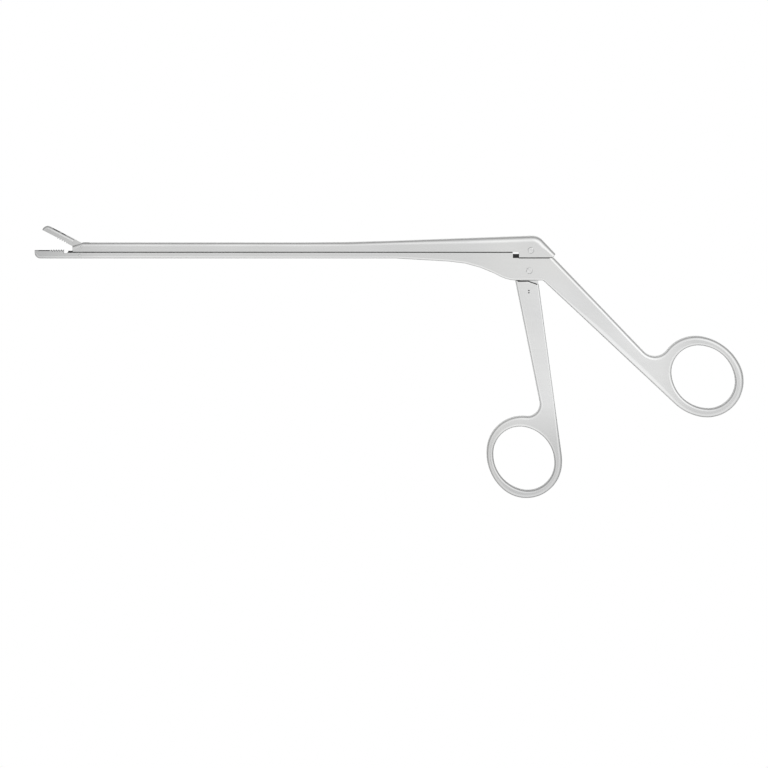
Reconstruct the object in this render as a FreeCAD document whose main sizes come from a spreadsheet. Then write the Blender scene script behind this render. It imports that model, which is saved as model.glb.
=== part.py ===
import FreeCAD, Part
import math
import os
import Sketcher

# Bone rongeur with ring handles and a sliding shaft, lying flat on its side.
# X runs from the jaws (minus) to the rear handle (plus), Y up the instrument's side view,
# Z through its thickness. The handle pivot's axis passes through the origin, and the
# side that the instrument lies on is at Z = 0. Lengths are millimetres, angles degrees.
# The jaws are open and the handles apart, which is the rest position.

SIZES = {
    # Thickness, seen from above the back
    "bodyThickness": 6.0,
    "shaftWidth": 3.8,
    "taperRearRun": 14.8,
    "taperRun": 51.0,
    "taperBlend": 500.0,
    "edgeBevel": 0.8,
    "jawBackRound": 1.1,
    # The parting between the shaft's halves, and the shaft below it
    "partingHeight": 6.9,
    "rearPartingDrop": 2.1,
    "shaftDepth": 2.3,
    "slideClearance": 0.06,
    "shoulderReach": 6.2,
    # Lower jaw, measured from the tip
    "jawReach": 185.45,
    "lowerTipShare": 0.68,
    "rimRise": 0.79,
    "rimLength": 6.15,
    "heelGap": 1.3,
    "heelDrop": 0.4,
    "forkFrontRoom": 1.2,
    # Underside of the body, measured forward from the shoulder
    "bellyToeRun": 1.8,
    "bellyToeBlend": 2.8,
    "bellySlopeRun": 13.0,
    "bellyKneeDrop": 1.67,
    "bellyKneeBlend": 9.0,
    "bellyRun": 29.0,
    "bodyDepth": 3.6,
    "crotchX": 5.1,
    "crotchRound": 1.0,
    # Rear handle and its ring
    "rearBarTopX": 9.3,
    "rearNeckTurn": 7.0,
    "rearNeckRound": 5.6,
    "rearRingX": 65.33,
    "rearRingY": -39.86,
    "rearRingMajor": 12.75,
    "rearRingMinor": 11.0,
    "rearRingLean": -43.0,
    "rearWireMajor": 3.6,
    "rearWireMinor": 3.3,
    "rearWireLean": -37.1,
    "rearWireShiftX": -0.68,
    "rearWireShiftY": 0.08,
    # Front handle, its ring and its tang
    "frontBarTopX": -5.25,
    "frontBarGap": 0.12,
    "frontNeckPast": 3.5,
    "frontNeckRound": 4.6,
    "facetKneeX": -0.4,
    "facetSlope": 19.0,
    "facetEndX": 3.5,
    "frontRingX": -1.96,
    "frontRingY": -70.47,
    "frontRingMajor": 12.5,
    "frontRingMinor": 10.92,
    "frontRingLean": -53.3,
    "frontWireMajor": 3.05,
    "frontWireMinor": 3.0,
    "frontWireLean": -68.9,
    "frontWireShiftX": 0.16,
    "frontWireShiftY": 0.51,
    "barInset": 1.5,
    "openingOvalShare": 0.57,
    "outerOvalShare": 0.33,
    "tangThickness": 3.0,
    "tangHubRadius": 3.4,
    "tangHeadRadius": 2.35,
    "tangRoot": 3.0,
    "sideClearance": 0.06,
    "slotEndRoom": 0.3,
    "headSwingRoom": 1.0,
    # Pins
    "handlePinRadius": 1.05,
    "slidePinRadius": 1.05,
    "jawPivotPinRadius": 0.5,
    "jawDrivePinRadius": 0.45,
    "pinSeat": 0.01,
    "pinRunning": 0.03,
    "pinChamfer": 0.1,
    # Linkage
    "drivePinArm": 7.67,
    "drivePinLean": 4.2,
    "slideTravel": 1.55,
    "jawPivotInset": 2.7,
    "jawPivotDrop": 1.15,
    "jawOpening": 27.5,
    "arcSlack": 0.12,
    # Sliding shaft
    "noseGap": 2.0,
    "noseRise": 2.3,
    "noseRampRun": 3.9,
    "noseRampRound": 2.0,
    "noseRound": 0.3,
    "slideRise": 3.64,
    "riseRun": 62.2,
    "riseBlend": 900.0,
    "slideRearRise": 2.61,
    "slideRearTopX": 3.35,
    "slideRearRound": 5.2,
    "slideTopRound": 1.5,
    "slideTailX": 9.8,
    "slideTailRise": 1.5,
    "slideTailRound": 0.4,
    "slideFootX": 8.9,
    "notchGap": 2.33,
    "notchRibHeight": 1.46,
    # Fork for the tongue of the upper jaw
    "tongueThickness": 1.6,
    "forkRun": 2.2,
    "slotRun": 3.7,
    # Rails and grooves
    "railNeckWidth": 1.1,
    "railNeckHeight": 0.8,
    "railHeadWidth": 2.1,
    "railHeadHeight": 0.8,
    "railClearance": 0.06,
    "guideHeight": 0.6,
    "guideFrontRun": 5.0,
    "guideRearRun": 1.5,
    "frontRailRun": 12.6,
    "rearRailRun": 35.8,
    "railLength": 14.0,
    # Upper jaw, cups, window and teeth
    "jawRise": 3.3,
    "upperTipShare": 0.82,
    "jawHeelGap": 0.15,
    "jawHeelBevelX": 1.2,
    "jawHeelBevelY": 0.8,
    "biteGap": 0.09,
    "tongueRoot": 2.0,
    "tongueTopRun": 0.5,
    "tongueTopRound": 1.2,
    "tongueHubRadius": 1.05,
    "tongueThroatRun": 0.55,
    "tongueThroatRise": 0.1,
    "tongueThroatRound": 1.0,
    "cupRearGap": 1.0,
    "cupFrontWall": 0.85,
    "cupSideWall": 0.65,
    "cupDepth": 1.75,
    "windowFrontRun": 2.95,
    "windowLength": 5.3,
    "windowWidth": 2.2,
    "toothPitch": 0.94,
    "toothDepth": 0.6,
    "crestRise": 1.02,
    "toothGap": 0.1,
}
LOWER_TEETH = 5
# Length of a cut that goes right through the piece
CUT_REACH = 60.0
# Width of a hollow's rounded ends, as a share of its half width
ROUND_END = 0.95
# Height of a tooth's cut, as a share of the tooth's depth
TOOTH_CUT = 1.5
# Least distance at which an edge counts as clear of a line
NEAR = 0.15
# Height by which a cut starts above or below the face that it enters
OPEN_AIR = 1.0
# Most that the bevel of one edge may take of a ring's wire at its thinnest
WIRE_SHARE = 0.4


class Size:
    """A length or angle together with the sheet expression that drives it."""

    def __init__(self, value, text):
        self.value = value
        self.text = text

    def __add__(self, other):
        other = as_size(other)
        return Size(self.value + other.value, f"({self.text} + {other.text})")

    def __sub__(self, other):
        other = as_size(other)
        return Size(self.value - other.value, f"({self.text} - {other.text})")

    def __mul__(self, other):
        other = as_size(other)
        return Size(self.value * other.value, f"({self.text} * {other.text})")

    def __truediv__(self, other):
        other = as_size(other)
        return Size(self.value / other.value, f"({self.text} / {other.text})")

    def __rtruediv__(self, other):
        return as_size(other) / self

    def __radd__(self, other):
        return as_size(other) + self

    def __rsub__(self, other):
        return as_size(other) - self

    def __rmul__(self, other):
        return as_size(other) * self

    def __neg__(self):
        return Size(-self.value, f"(-1 * {self.text})")


def as_size(number):
    if isinstance(number, Size):
        return number
    return Size(float(number), f"({number:g})")


def sine(angle):
    return Size(math.sin(math.radians(angle.value)), f"sin({angle.text})")


def cosine(angle):
    return Size(math.cos(math.radians(angle.value)), f"cos({angle.text})")


def tangent(angle):
    return Size(math.tan(math.radians(angle.value)), f"tan({angle.text})")


def root(size):
    return Size(math.sqrt(size.value), f"sqrt({size.text})")


def smaller(first, second):
    first = as_size(first)
    second = as_size(second)
    return Size(min(first.value, second.value), f"min({first.text}; {second.text})")


def fill_sheet(sheet):
    """Driving sizes, one row each, with the size's name as the cell's alias."""
    for row, (name, number) in enumerate(SIZES.items(), start=1):
        sheet.set(f"A{row}", name)
        sheet.set(f"B{row}", f"{number:g}")
        sheet.setAlias(f"B{row}", name)


def driving(name):
    return Size(SIZES[name], f"Sizes.{name}")


def keep(name, size):
    """Stores a worked-out place in the second sheet and returns it under its name."""
    global places_row
    places_row += 1
    places.set(f"A{places_row}", name)
    places.set(f"B{places_row}", f"={size.text}")
    places.setAlias(f"B{places_row}", name)
    return Size(size.value, f"Places.{name}")


def vector(x, y, z=0.0):
    return FreeCAD.Vector(as_size(x).value, as_size(y).value, as_size(z).value)


# Sketches

def new_body(label):
    body = doc.addObject("PartDesign::Body", label)
    body.Label = label
    return body


def new_sketch(body, name, role="XY_Plane", offset=None):
    """Sketch on one of the body's own origin planes, moved along its normal by offset."""
    plane = [item for item in body.Origin.OriginFeatures if item.Role == role][0]
    sketch = body.newObject("Sketcher::SketchObject", name)
    sketch.AttachmentSupport = [(plane, "")]
    sketch.MapMode = "FlatFace"
    if offset is not None:
        sketch.AttachmentOffset = FreeCAD.Placement(vector(0, 0, offset), FreeCAD.Rotation())
        sketch.setExpression("AttachmentOffset.Base.z", offset.text)
    return sketch


def pin_point(sketch, geometry, position, x, y):
    """Holds one point of a sketch at x, y, driven by the sheets."""
    for kind, size in (("DistanceX", as_size(x)), ("DistanceY", as_size(y))):
        rule = Sketcher.Constraint(kind, -1, 1, geometry, position, size.value)
        index = sketch.addConstraint(rule)
        sketch.setExpression(f"Constraints[{index}]", size.text)


def corner_arc(before, corner, after, size, is_blend):
    """Tangent arc in a corner: its two ends, and the arc itself, always anticlockwise."""
    way_in = (corner - before).normalize()
    way_out = (after - corner).normalize()
    turn = way_in.getAngle(way_out)
    left = way_in.cross(way_out).z > 0
    run = size if is_blend else size * math.tan(turn / 2)
    radius = run / math.tan(turn / 2)
    start = corner - way_in * run
    end = corner + way_out * run
    side = 1 if left else -1
    centre = start + FreeCAD.Vector(-way_in.y, way_in.x, 0) * (radius * side)
    first, last = (start, end) if left else (end, start)
    angles = [math.atan2(point.y - centre.y, point.x - centre.x) for point in (first, last)]
    circle = Part.Circle(centre, FreeCAD.Vector(0, 0, 1), radius)
    return start, end, left, Part.ArcOfCircle(circle, angles[0], angles[1])


def outline(sketch, corners):
    """Closed outline through corners, which are (x, y), rounded by a radius in (x, y, radius),
    or rounded from a run before the corner to one after it in (x, y, run, "blend").
    """
    count = len(corners)
    points = [vector(corner[0], corner[1]) for corner in corners]
    starts = list(points)
    ends = list(points)
    arcs = {}
    for i, corner in enumerate(corners):
        if len(corner) > 2:
            size = as_size(corner[2])
            after = points[(i + 1) % count]
            is_blend = len(corner) == 4
            start, end, left, arc = corner_arc(points[i - 1], points[i], after, size.value, is_blend)
            starts[i], ends[i] = start, end
            arcs[i] = (arc, left, size)
    lines = []
    for i in range(count):
        line = Part.LineSegment(ends[i], starts[(i + 1) % count])
        lines.append(sketch.addGeometry(line, False))
    for i, corner in enumerate(corners):
        line_in = lines[i - 1]
        line_out = lines[i]
        if i not in arcs:
            sketch.addConstraint(Sketcher.Constraint("Coincident", line_in, 2, line_out, 1))
            pin_point(sketch, line_out, 1, corner[0], corner[1])
            continue
        arc, left, size = arcs[i]
        geometry = sketch.addGeometry(arc, False)
        entry, leave = (1, 2) if left else (2, 1)
        mark = sketch.addGeometry(Part.Point(points[i]), True)
        sketch.addConstraint([
            Sketcher.Constraint("Tangent", line_in, 2, geometry, entry),
            Sketcher.Constraint("Tangent", geometry, leave, line_out, 1),
            Sketcher.Constraint("PointOnObject", mark, 1, line_in),
            Sketcher.Constraint("PointOnObject", mark, 1, line_out),
        ])
        if len(corner) == 4:
            rule = Sketcher.Constraint("Distance", mark, 1, line_in, 2, size.value)
        else:
            rule = Sketcher.Constraint("Radius", geometry, size.value)
        index = sketch.addConstraint(rule)
        sketch.setExpression(f"Constraints[{index}]", size.text)
        pin_point(sketch, mark, 1, corner[0], corner[1])


def rectangle(sketch, left, bottom, right, top):
    outline(sketch, [(left, bottom), (right, bottom), (right, top), (left, top)])


def circle(sketch, x, y, radius):
    radius = as_size(radius)
    shape = Part.Circle(vector(x, y), FreeCAD.Vector(0, 0, 1), radius.value)
    geometry = sketch.addGeometry(shape, False)
    index = sketch.addConstraint(Sketcher.Constraint("Radius", geometry, radius.value))
    sketch.setExpression(f"Constraints[{index}]", radius.text)
    pin_point(sketch, geometry, 3, x, y)


def oval(sketch, form):
    """Closed oval of a ring: two end arcs and two side arcs, tangent where they meet."""
    quarters = [(1, -1), (1, 1), (-1, 1), (-1, -1)]
    joints = [in_world(form, form["jointAlong"] * u, form["jointAcross"] * v) for u, v in quarters]
    zero = as_size(0)
    centres = [
        in_world(form, form["endShift"], zero),
        in_world(form, zero, -form["sideShift"]),
        in_world(form, -form["endShift"], zero),
        in_world(form, zero, form["sideShift"]),
    ]
    arcs = []
    for i, centre in enumerate(centres):
        radius = form["sideRadius"] if i % 2 else form["endRadius"]
        middle = vector(*centre)
        ends = [vector(*joints[i]), vector(*joints[(i + 1) % 4])]
        angles = [math.atan2(point.y - middle.y, point.x - middle.x) for point in ends]
        shape = Part.Circle(middle, FreeCAD.Vector(0, 0, 1), radius.value)
        arcs.append(sketch.addGeometry(Part.ArcOfCircle(shape, angles[0], angles[1]), False))
        index = sketch.addConstraint(Sketcher.Constraint("Radius", arcs[i], radius.value))
        sketch.setExpression(f"Constraints[{index}]", radius.text)
    for i, arc in enumerate(arcs):
        sketch.addConstraint(Sketcher.Constraint("Coincident", arcs[i - 1], 2, arc, 1))
        pin_point(sketch, arc, 1, *joints[i])


# Features

def solid_feature(body, kind, sketch, length, symmetric=True, reverse=False):
    length = as_size(length)
    feature = body.newObject(f"PartDesign::{kind}", f"{sketch.Name}_{kind.lower()}")
    feature.Profile = sketch
    feature.SideType = "Symmetric" if symmetric else "One side"
    feature.Reversed = reverse
    feature.Length = length.value
    feature.setExpression("Length", length.text)
    sketch.Visibility = False
    doc.recompute()
    return feature


def pad(body, sketch, length, symmetric=True, reverse=False):
    return solid_feature(body, "Pad", sketch, length, symmetric, reverse)


def pocket(body, sketch, length=CUT_REACH, symmetric=True, reverse=False):
    before = body.Shape.Volume
    feature = solid_feature(body, "Pocket", sketch, length, symmetric, reverse)
    if body.Shape.Volume > before - 1e-4:
        raise RuntimeError(f"{feature.Name} cut nothing")
    return feature


def edges_where(body, chosen):
    return [f"Edge{i}" for i, edge in enumerate(body.Shape.Edges, start=1) if chosen(edge)]


def soften_edges(body, kind, name, size, chosen):
    size = as_size(size)
    names = edges_where(body, chosen)
    if not names:
        raise RuntimeError(f"{name} found no edge")
    base = body.Tip
    feature = body.newObject(f"PartDesign::{kind}", name)
    feature.Base = (base, names)
    setting = "Radius" if kind == "Fillet" else "Size"
    setattr(feature, setting, size.value)
    feature.setExpression(setting, size.text)
    body.Tip = feature
    doc.recompute()
    return feature


def round_edges(body, name, radius, chosen):
    return soften_edges(body, "Fillet", name, radius, chosen)


def bevel_edges(body, name, size, chosen):
    return soften_edges(body, "Chamfer", name, size, chosen)


def upright_at(x, y):
    """Chooses the edges that run along Z through x, y."""
    spot = vector(x, y)

    def chosen(edge):
        box = edge.BoundBox
        flat = box.XLength < 0.01 and box.YLength < 0.01
        return flat and math.hypot(box.Center.x - spot.x, box.Center.y - spot.y) < 0.05

    return chosen


def lies_at_height(edge, z):
    box = edge.BoundBox
    return box.ZLength < 0.001 and abs(abs(box.Center.z) - z) < 0.001


def on_face_below(edge, y):
    """Edges of the two flat faces that lie wholly below a line."""
    return lies_at_height(edge, thickness.value / 2) and edge.BoundBox.YMax < y


def on_face_reaching_below(edge, y):
    """Edges of the two flat faces that reach below a line."""
    return lies_at_height(edge, thickness.value / 2) and edge.BoundBox.YMin < y


# Shapes shared by several pieces

def in_world(form, along, across):
    """Turns a place measured along and across a ring's oval into x and y."""
    x = form["x"] + along * form["alongX"] - across * form["alongY"]
    y = form["y"] + along * form["alongY"] + across * form["alongX"]
    return x, y


def ring_form(name, centre_x, centre_y, major, minor, lean, share):
    """Oval of a ring's edge. The share says how much smaller its end arcs are than its width."""
    extra = major - minor
    end_part = 1 + share
    side_part = 1 + 1 / (2 * share)
    whole = root(end_part * end_part + side_part * side_part)
    form = {
        "x": keep(f"{name}CentreX", centre_x),
        "y": keep(f"{name}CentreY", centre_y),
        "major": keep(f"{name}Long", major),
        "minor": keep(f"{name}Short", minor),
        "alongX": keep(f"{name}AlongX", cosine(lean)),
        "alongY": keep(f"{name}AlongY", sine(lean)),
        "endRadius": keep(f"{name}EndRadius", minor - share * extra),
        "sideRadius": keep(f"{name}SideRadius", major + extra / (2 * share)),
        "endShift": keep(f"{name}EndShift", end_part * extra),
        "sideShift": keep(f"{name}SideShift", side_part * extra),
        "jointCos": keep(f"{name}JointCos", end_part / whole),
        "jointSin": keep(f"{name}JointSin", side_part / whole),
    }
    along = form["endShift"] + form["endRadius"] * form["jointCos"]
    form["jointAlong"] = keep(f"{name}JointAlong", along)
    form["jointAcross"] = keep(f"{name}JointAcross", form["endRadius"] * form["jointSin"])
    return form


def ring_forms(side):
    """Opening and outer edge of a finger ring, and the bevel that its wire has room for."""
    x = driving(f"{side}RingX")
    y = driving(f"{side}RingY")
    shift_x = driving(f"{side}WireShiftX")
    shift_y = driving(f"{side}WireShiftY")
    long = driving(f"{side}RingMajor")
    short = driving(f"{side}RingMinor")
    wire_long = driving(f"{side}WireMajor")
    wire_short = driving(f"{side}WireMinor")
    lean = driving(f"{side}RingLean")
    wire_lean = driving(f"{side}WireLean")
    inner = ring_form(f"{side}Opening", x, y, long, short, lean, driving("openingOvalShare"))
    outer = ring_form(
        f"{side}Outer", x + shift_x, y + shift_y, long + wire_long, short + wire_short, wire_lean,
        driving("outerOvalShare"))
    # The wire is thinnest where the ovals' shift and their different leans take most from it
    stretch_in = (long - short) / 2
    stretch_out = (outer["major"] - outer["minor"]) / 2
    turned = cosine(2 * (lean - wire_lean))
    squares = stretch_in * stretch_in + stretch_out * stretch_out
    twist = root(squares - 2 * stretch_in * stretch_out * turned)
    shift = root(shift_x * shift_x + shift_y * shift_y)
    thinnest = keep(f"{side}Thinnest", (wire_long + wire_short) / 2 - twist - shift)
    bevel = keep(f"{side}EdgeBevel", smaller(driving("edgeBevel"), thinnest * WIRE_SHARE))
    return inner, outer, bevel


def touch_point(name, form, from_x, from_y, side):
    """Where a straight edge touches a ring's side arc, clockwise (1) or anticlockwise (-1) of the ring."""
    middle = in_world(form, as_size(0), form["sideShift"] * side)
    away_x = keep(f"{name}AwayX", from_x - middle[0])
    away_y = keep(f"{name}AwayY", from_y - middle[1])
    radius = form["sideRadius"]
    square = keep(f"{name}Square", away_x * away_x + away_y * away_y)
    near = keep(f"{name}Near", radius * radius / square)
    swing = keep(f"{name}Swing", side * radius * root(square - radius * radius) / square)
    x = middle[0] + near * away_x - swing * away_y
    y = middle[1] + near * away_y + swing * away_x
    return keep(f"{name}X", x), keep(f"{name}Y", y)


def bar_end(name, form, from_x, from_y, way_x, way_y):
    """Where a bar's straight edge enters the ring's far end arc, and a point just inside the wire."""
    arc_x, arc_y = in_world(form, -form["endShift"], as_size(0))
    entry_x = keep(f"{name}EntryX", arc_x + form["endRadius"] * way_x)
    entry_y = keep(f"{name}EntryY", arc_y + form["endRadius"] * way_y)
    run_x = keep(f"{name}RunX", entry_x - from_x)
    run_y = keep(f"{name}RunY", entry_y - from_y)
    step = keep(f"{name}Step", driving("barInset") / root(run_x * run_x + run_y * run_y))
    return {
        "entryX": entry_x,
        "entryY": entry_y,
        "endX": keep(f"{name}EndX", entry_x + step * run_x),
        "endY": keep(f"{name}EndY", entry_y + step * run_y),
    }


def rear_layout():
    """Rear ring, the neck of its bar and the point where the bar's lower edge touches it."""
    inner, outer, bevel = ring_forms("rear")
    turn = driving("rearNeckTurn")
    neck = bar_end("rearBar", outer, driving("rearBarTopX"), rear_parting, -cosine(turn), sine(turn))
    touch = touch_point("rearTouch", outer, driving("crotchX"), -driving("bodyDepth"), 1)
    return inner, outer, bevel, neck, touch


def front_layout():
    """Front ring, the neck of its bar and the point where the bar's rear edge touches it."""
    inner, outer, bevel = ring_forms("front")
    past = driving("frontNeckPast")
    joint_cos = outer["jointCos"]
    joint_sin = outer["jointSin"]
    along = keep("frontNeckAlong", -(joint_cos * cosine(past) + joint_sin * sine(past)))
    across = keep("frontNeckAcross", joint_sin * cosine(past) - joint_cos * sine(past))
    way_x = along * outer["alongX"] - across * outer["alongY"]
    way_y = along * outer["alongY"] + across * outer["alongX"]
    neck = bar_end("frontBar", outer, driving("frontBarTopX"), facet, way_x, way_y)
    touch = touch_point("frontTouch", outer, driving("facetEndX"), facet_end, -1)
    return inner, outer, bevel, neck, touch


def add_ring(body, name, outer, inner, neck, neck_round):
    """Finger ring grown onto a bar, with a hollow neck where the bar meets it."""
    outer_sketch = new_sketch(body, f"{name}_outer")
    oval(outer_sketch, outer)
    pad(body, outer_sketch, thickness)
    round_edges(body, f"{name}_neck", neck_round, upright_at(neck["entryX"], neck["entryY"]))
    inner_sketch = new_sketch(body, f"{name}_opening")
    oval(inner_sketch, inner)
    pocket(body, inner_sketch)


def narrow_shaft(body, front_x):
    """Cuts both sides of a shaft half to its plan: slim in front, widening into the body."""
    sketch = new_sketch(body, "plan", "XZ_Plane")
    front = front_x - thickness
    for side in (1, -1):
        outline(sketch, [
            (front, width / 2 * side),
            (taper_front, width / 2 * side, driving("taperBlend")),
            (taper_rear, thickness / 2 * side, driving("taperBlend")),
            (shoulder, thickness / 2 * side),
            (shoulder, thickness * side),
            (front, thickness * side),
        ])
    return pocket(body, sketch)


def rail_profile(sketch, room):
    """T-shaped section of a rail, or of its groove when room is the clearance round it."""
    foot = parting - room
    neck = driving("railNeckWidth") / 2 + room
    head = driving("railHeadWidth") / 2 + room
    head_bottom = parting + driving("railNeckHeight") - room
    head_top = parting + driving("railNeckHeight") + driving("railHeadHeight") + room
    outline(sketch, [
        (foot, -neck), (head_bottom, -neck), (head_bottom, -head), (head_top, -head),
        (head_top, head), (head_bottom, head), (head_bottom, neck), (foot, neck),
    ])


def add_hole(body, name, x, y, radius):
    sketch = new_sketch(body, name)
    circle(sketch, x, y, radius)
    return pocket(body, sketch)


def add_arc_slot(body, name, x, y, radius, way_x, way_y):
    """Hole lengthened along one direction, so that a pin can follow the arc of another."""
    sketch = new_sketch(body, name)
    half = driving("arcSlack") / 2
    side_x = -way_y * radius
    side_y = way_x * radius
    low = (x - way_x * half, y - way_y * half)
    high = (x + way_x * half, y + way_y * half)
    side = vector(side_x, side_y)
    edge_a = Part.LineSegment(vector(*low) + side, vector(*high) + side)
    edge_b = Part.LineSegment(vector(*high) - side, vector(*low) - side)
    lean = math.atan2(as_size(way_y).value, as_size(way_x).value)
    quarter = math.pi / 2
    high_circle = Part.Circle(vector(*high), FreeCAD.Vector(0, 0, 1), radius.value)
    low_circle = Part.Circle(vector(*low), FreeCAD.Vector(0, 0, 1), radius.value)
    top = Part.ArcOfCircle(high_circle, lean - quarter, lean + quarter)
    bottom = Part.ArcOfCircle(low_circle, lean + quarter, lean + 3 * quarter)
    shapes = (edge_a, top, edge_b, bottom)
    side_one, end_one, side_two, end_two = [sketch.addGeometry(item, False) for item in shapes]
    sketch.addConstraint([
        Sketcher.Constraint("Tangent", side_one, 2, end_one, 2),
        Sketcher.Constraint("Tangent", end_one, 1, side_two, 1),
        Sketcher.Constraint("Tangent", side_two, 2, end_two, 2),
        Sketcher.Constraint("Tangent", end_two, 1, side_one, 1),
    ])
    index = sketch.addConstraint(Sketcher.Constraint("Radius", end_one, radius.value))
    sketch.setExpression(f"Constraints[{index}]", radius.text)
    pin_point(sketch, end_one, 3, *high)
    pin_point(sketch, end_two, 3, *low)
    return pocket(body, sketch)


def add_hollow(body, name, height, depth, front, rear, half, upward):
    """Long oval hollow of a jaw, cut up or down from a height."""
    sketch = new_sketch(body, name, "XZ_Plane", -height)
    corner = half * ROUND_END
    outline(sketch, [
        (front, -half, corner),
        (rear, -half, corner),
        (rear, half, corner),
        (front, half, corner),
    ])
    return pocket(body, sketch, depth, symmetric=False, reverse=not upward)


def add_cup(body, height, depth, upward):
    front = tip + driving("cupFrontWall")
    rear = heel_front - driving("cupRearGap")
    return add_hollow(body, "cup", height, depth, front, rear, width / 2 - driving("cupSideWall"), upward)


def add_teeth(body, first_x, root_y, crest_y, count):
    """Row of V cuts across both rims of a jaw."""
    sketch = new_sketch(body, "teeth")
    pitch = driving("toothPitch")
    open_half = pitch / 2 * TOOTH_CUT
    beyond = root_y + (crest_y - root_y) * TOOTH_CUT
    outline(sketch, [(first_x, root_y), (first_x + open_half, beyond), (first_x - open_half, beyond)])
    cut = pocket(body, sketch)
    pattern = body.newObject("PartDesign::LinearPattern", "teeth_row")
    pattern.Originals = [cut]
    pattern.Direction = (sketch, ["H_Axis"])
    pattern.Mode = "Spacing"
    pattern.Occurrences = count
    pattern.Offset = pitch.value
    pattern.setExpression("Offset", pitch.text)
    body.Tip = pattern
    doc.recompute()
    return pattern


# Pieces

def lower_shaft():
    """Fixed forging: lower jaw, lower half of the shaft, body, rear handle and ring."""
    body = new_body("lower_shaft")
    inner, outer, bevel, neck, touch = rear_bow
    depth = -driving("bodyDepth")
    side = new_sketch(body, "side_view")
    outline(side, [
        (tip, rim),
        (tip, bottom, (rim - bottom) * driving("lowerTipShare")),
        (belly_start, bottom),
        (belly_knee, bottom - driving("bellyKneeDrop"), driving("bellyKneeBlend"), "blend"),
        (belly_toe, depth, driving("bellyToeBlend"), "blend"),
        (driving("crotchX"), depth, driving("crotchRound")),
        touch,
        (neck["endX"], neck["endY"]),
        (driving("rearBarTopX"), rear_parting),
        (shoulder, rear_parting),
        (shoulder, parting),
        (heel_rear, parting),
        (heel_rear, parting - driving("heelDrop")),
        (heel_front, parting - driving("heelDrop")),
        (heel_front, crest),
        (toothed, crest),
        (toothed, rim),
    ])
    pad(body, side, thickness)
    narrow_shaft(body, tip)
    add_ring(body, "rear_ring", outer, inner, neck, driving("rearNeckRound"))
    bevel_edges(
        body, "handle_bevel", bevel,
        lambda edge: on_face_below(edge, rear_parting.value - NEAR))
    cut_tang_slot(body)
    cut_fork(body, jaw_pivot_x + driving("forkRun"), heel_front - driving("forkFrontRoom"))
    add_hole(body, "handle_pivot_hole", 0, 0, driving("handlePinRadius") + driving("pinSeat"))
    pivot_hole = driving("jawPivotPinRadius") + driving("pinSeat")
    add_hole(body, "jaw_pivot_hole", jaw_pivot_x, jaw_pivot_y, pivot_hole)
    add_cup(body, crest, crest - rim + driving("cupDepth"), upward=False)
    first_tooth = toothed + driving("toothPitch") / 2
    add_teeth(body, first_tooth, crest - driving("toothDepth"), crest, LOWER_TEETH)
    for name, start in rail_starts.items():
        rail = new_sketch(body, f"{name}_rail", "YZ_Plane", start)
        rail_profile(rail, as_size(0))
        pad(body, rail, driving("railLength"), symmetric=False)
    add_guide(body)
    add_notch_rib(body)
    return body


def add_guide(body):
    """Low rib along the parting that keeps the slide straight between its rails and closes the gap."""
    sketch = new_sketch(body, "guide")
    rectangle(sketch, guide_front, parting, guide_rear, parting + driving("guideHeight"))
    pad(body, sketch, driving("railNeckWidth"))


def add_notch_rib(body):
    """Low rib across the gap between the shoulder and the slot of the tang."""
    sketch = new_sketch(body, "notch_rib")
    top = rear_parting + driving("notchRibHeight")
    rectangle(sketch, shoulder, rear_parting, tang_slot_front, top)
    pad(body, sketch, driving("railNeckWidth"))


def cut_tang_slot(body):
    """Slot through the body in which the front handle's tang swings."""
    sketch = new_sketch(body, "tang_slot", "XZ_Plane")
    half = driving("tangThickness") / 2 + driving("sideClearance")
    swing = driving("bodyDepth") * driving("slideTravel") / driving("drivePinArm")
    rectangle(sketch, tang_slot_front, -half, swing - tang_slot_front, half)
    pocket(body, sketch, 2 * parting)


def cut_fork(body, rear_x, front_x):
    """Slot in the end of a shaft half for the tongue of the upper jaw."""
    sketch = new_sketch(body, "fork", "XZ_Plane")
    half = driving("tongueThickness") / 2 + driving("sideClearance")
    rectangle(sketch, front_x, -half, rear_x, half)
    pocket(body, sketch)


def sliding_shaft():
    """Upper half of the shaft, which the front handle pushes forward."""
    body = new_body("sliding_shaft")
    foot = parting + driving("slideClearance")
    rear_foot = rear_parting + driving("slideClearance")
    block = shoulder + driving("notchGap")
    side = new_sketch(body, "side_view")
    outline(side, [
        (nose, foot),
        (block, foot),
        (block, rear_foot),
        (driving("slideFootX"), rear_foot),
        (driving("slideTailX"), rear_parting + driving("slideTailRise"), driving("slideTailRound")),
        (driving("slideRearTopX"), slide_top + driving("slideRearRise"), driving("slideRearRound")),
        (shoulder - driving("riseRun"), slide_top, driving("riseBlend")),
        (nose + driving("noseRampRun"), slide_top, driving("noseRampRound")),
        (nose, parting + driving("noseRise"), driving("noseRound")),
    ])
    pad(body, side, thickness)
    narrow_shaft(body, nose)
    round_edges(
        body, "top_rounding", driving("slideTopRound"),
        lambda edge: top_of_slide(edge, foot))
    cut_fork(body, jaw_pivot_x + driving("slotRun"), nose - driving("forkFrontRoom"))
    cut_head_room(body)
    cut_rib_groove(body, block)
    cut_guide_groove(body)
    add_hole(body, "slide_pin_hole", drive_x, drive_y, driving("slidePinRadius") + driving("pinSeat"))
    drive_hole = driving("jawDrivePinRadius") + driving("pinSeat")
    add_hole(body, "jaw_drive_hole", jaw_drive_x, jaw_drive_y, drive_hole)
    for name, start in rail_starts.items():
        cut_groove(body, name, start)
    return body


def top_of_slide(edge, foot):
    """The long upper edges of the slide, round its tail too, but not its sole or its nose."""
    box = edge.BoundBox
    on_side = box.ZMin * box.ZMax > 0
    above = box.YMin > foot.value + NEAR
    return on_side and above and box.XLength > NEAR and box.XMin > nose.value + NEAR


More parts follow.
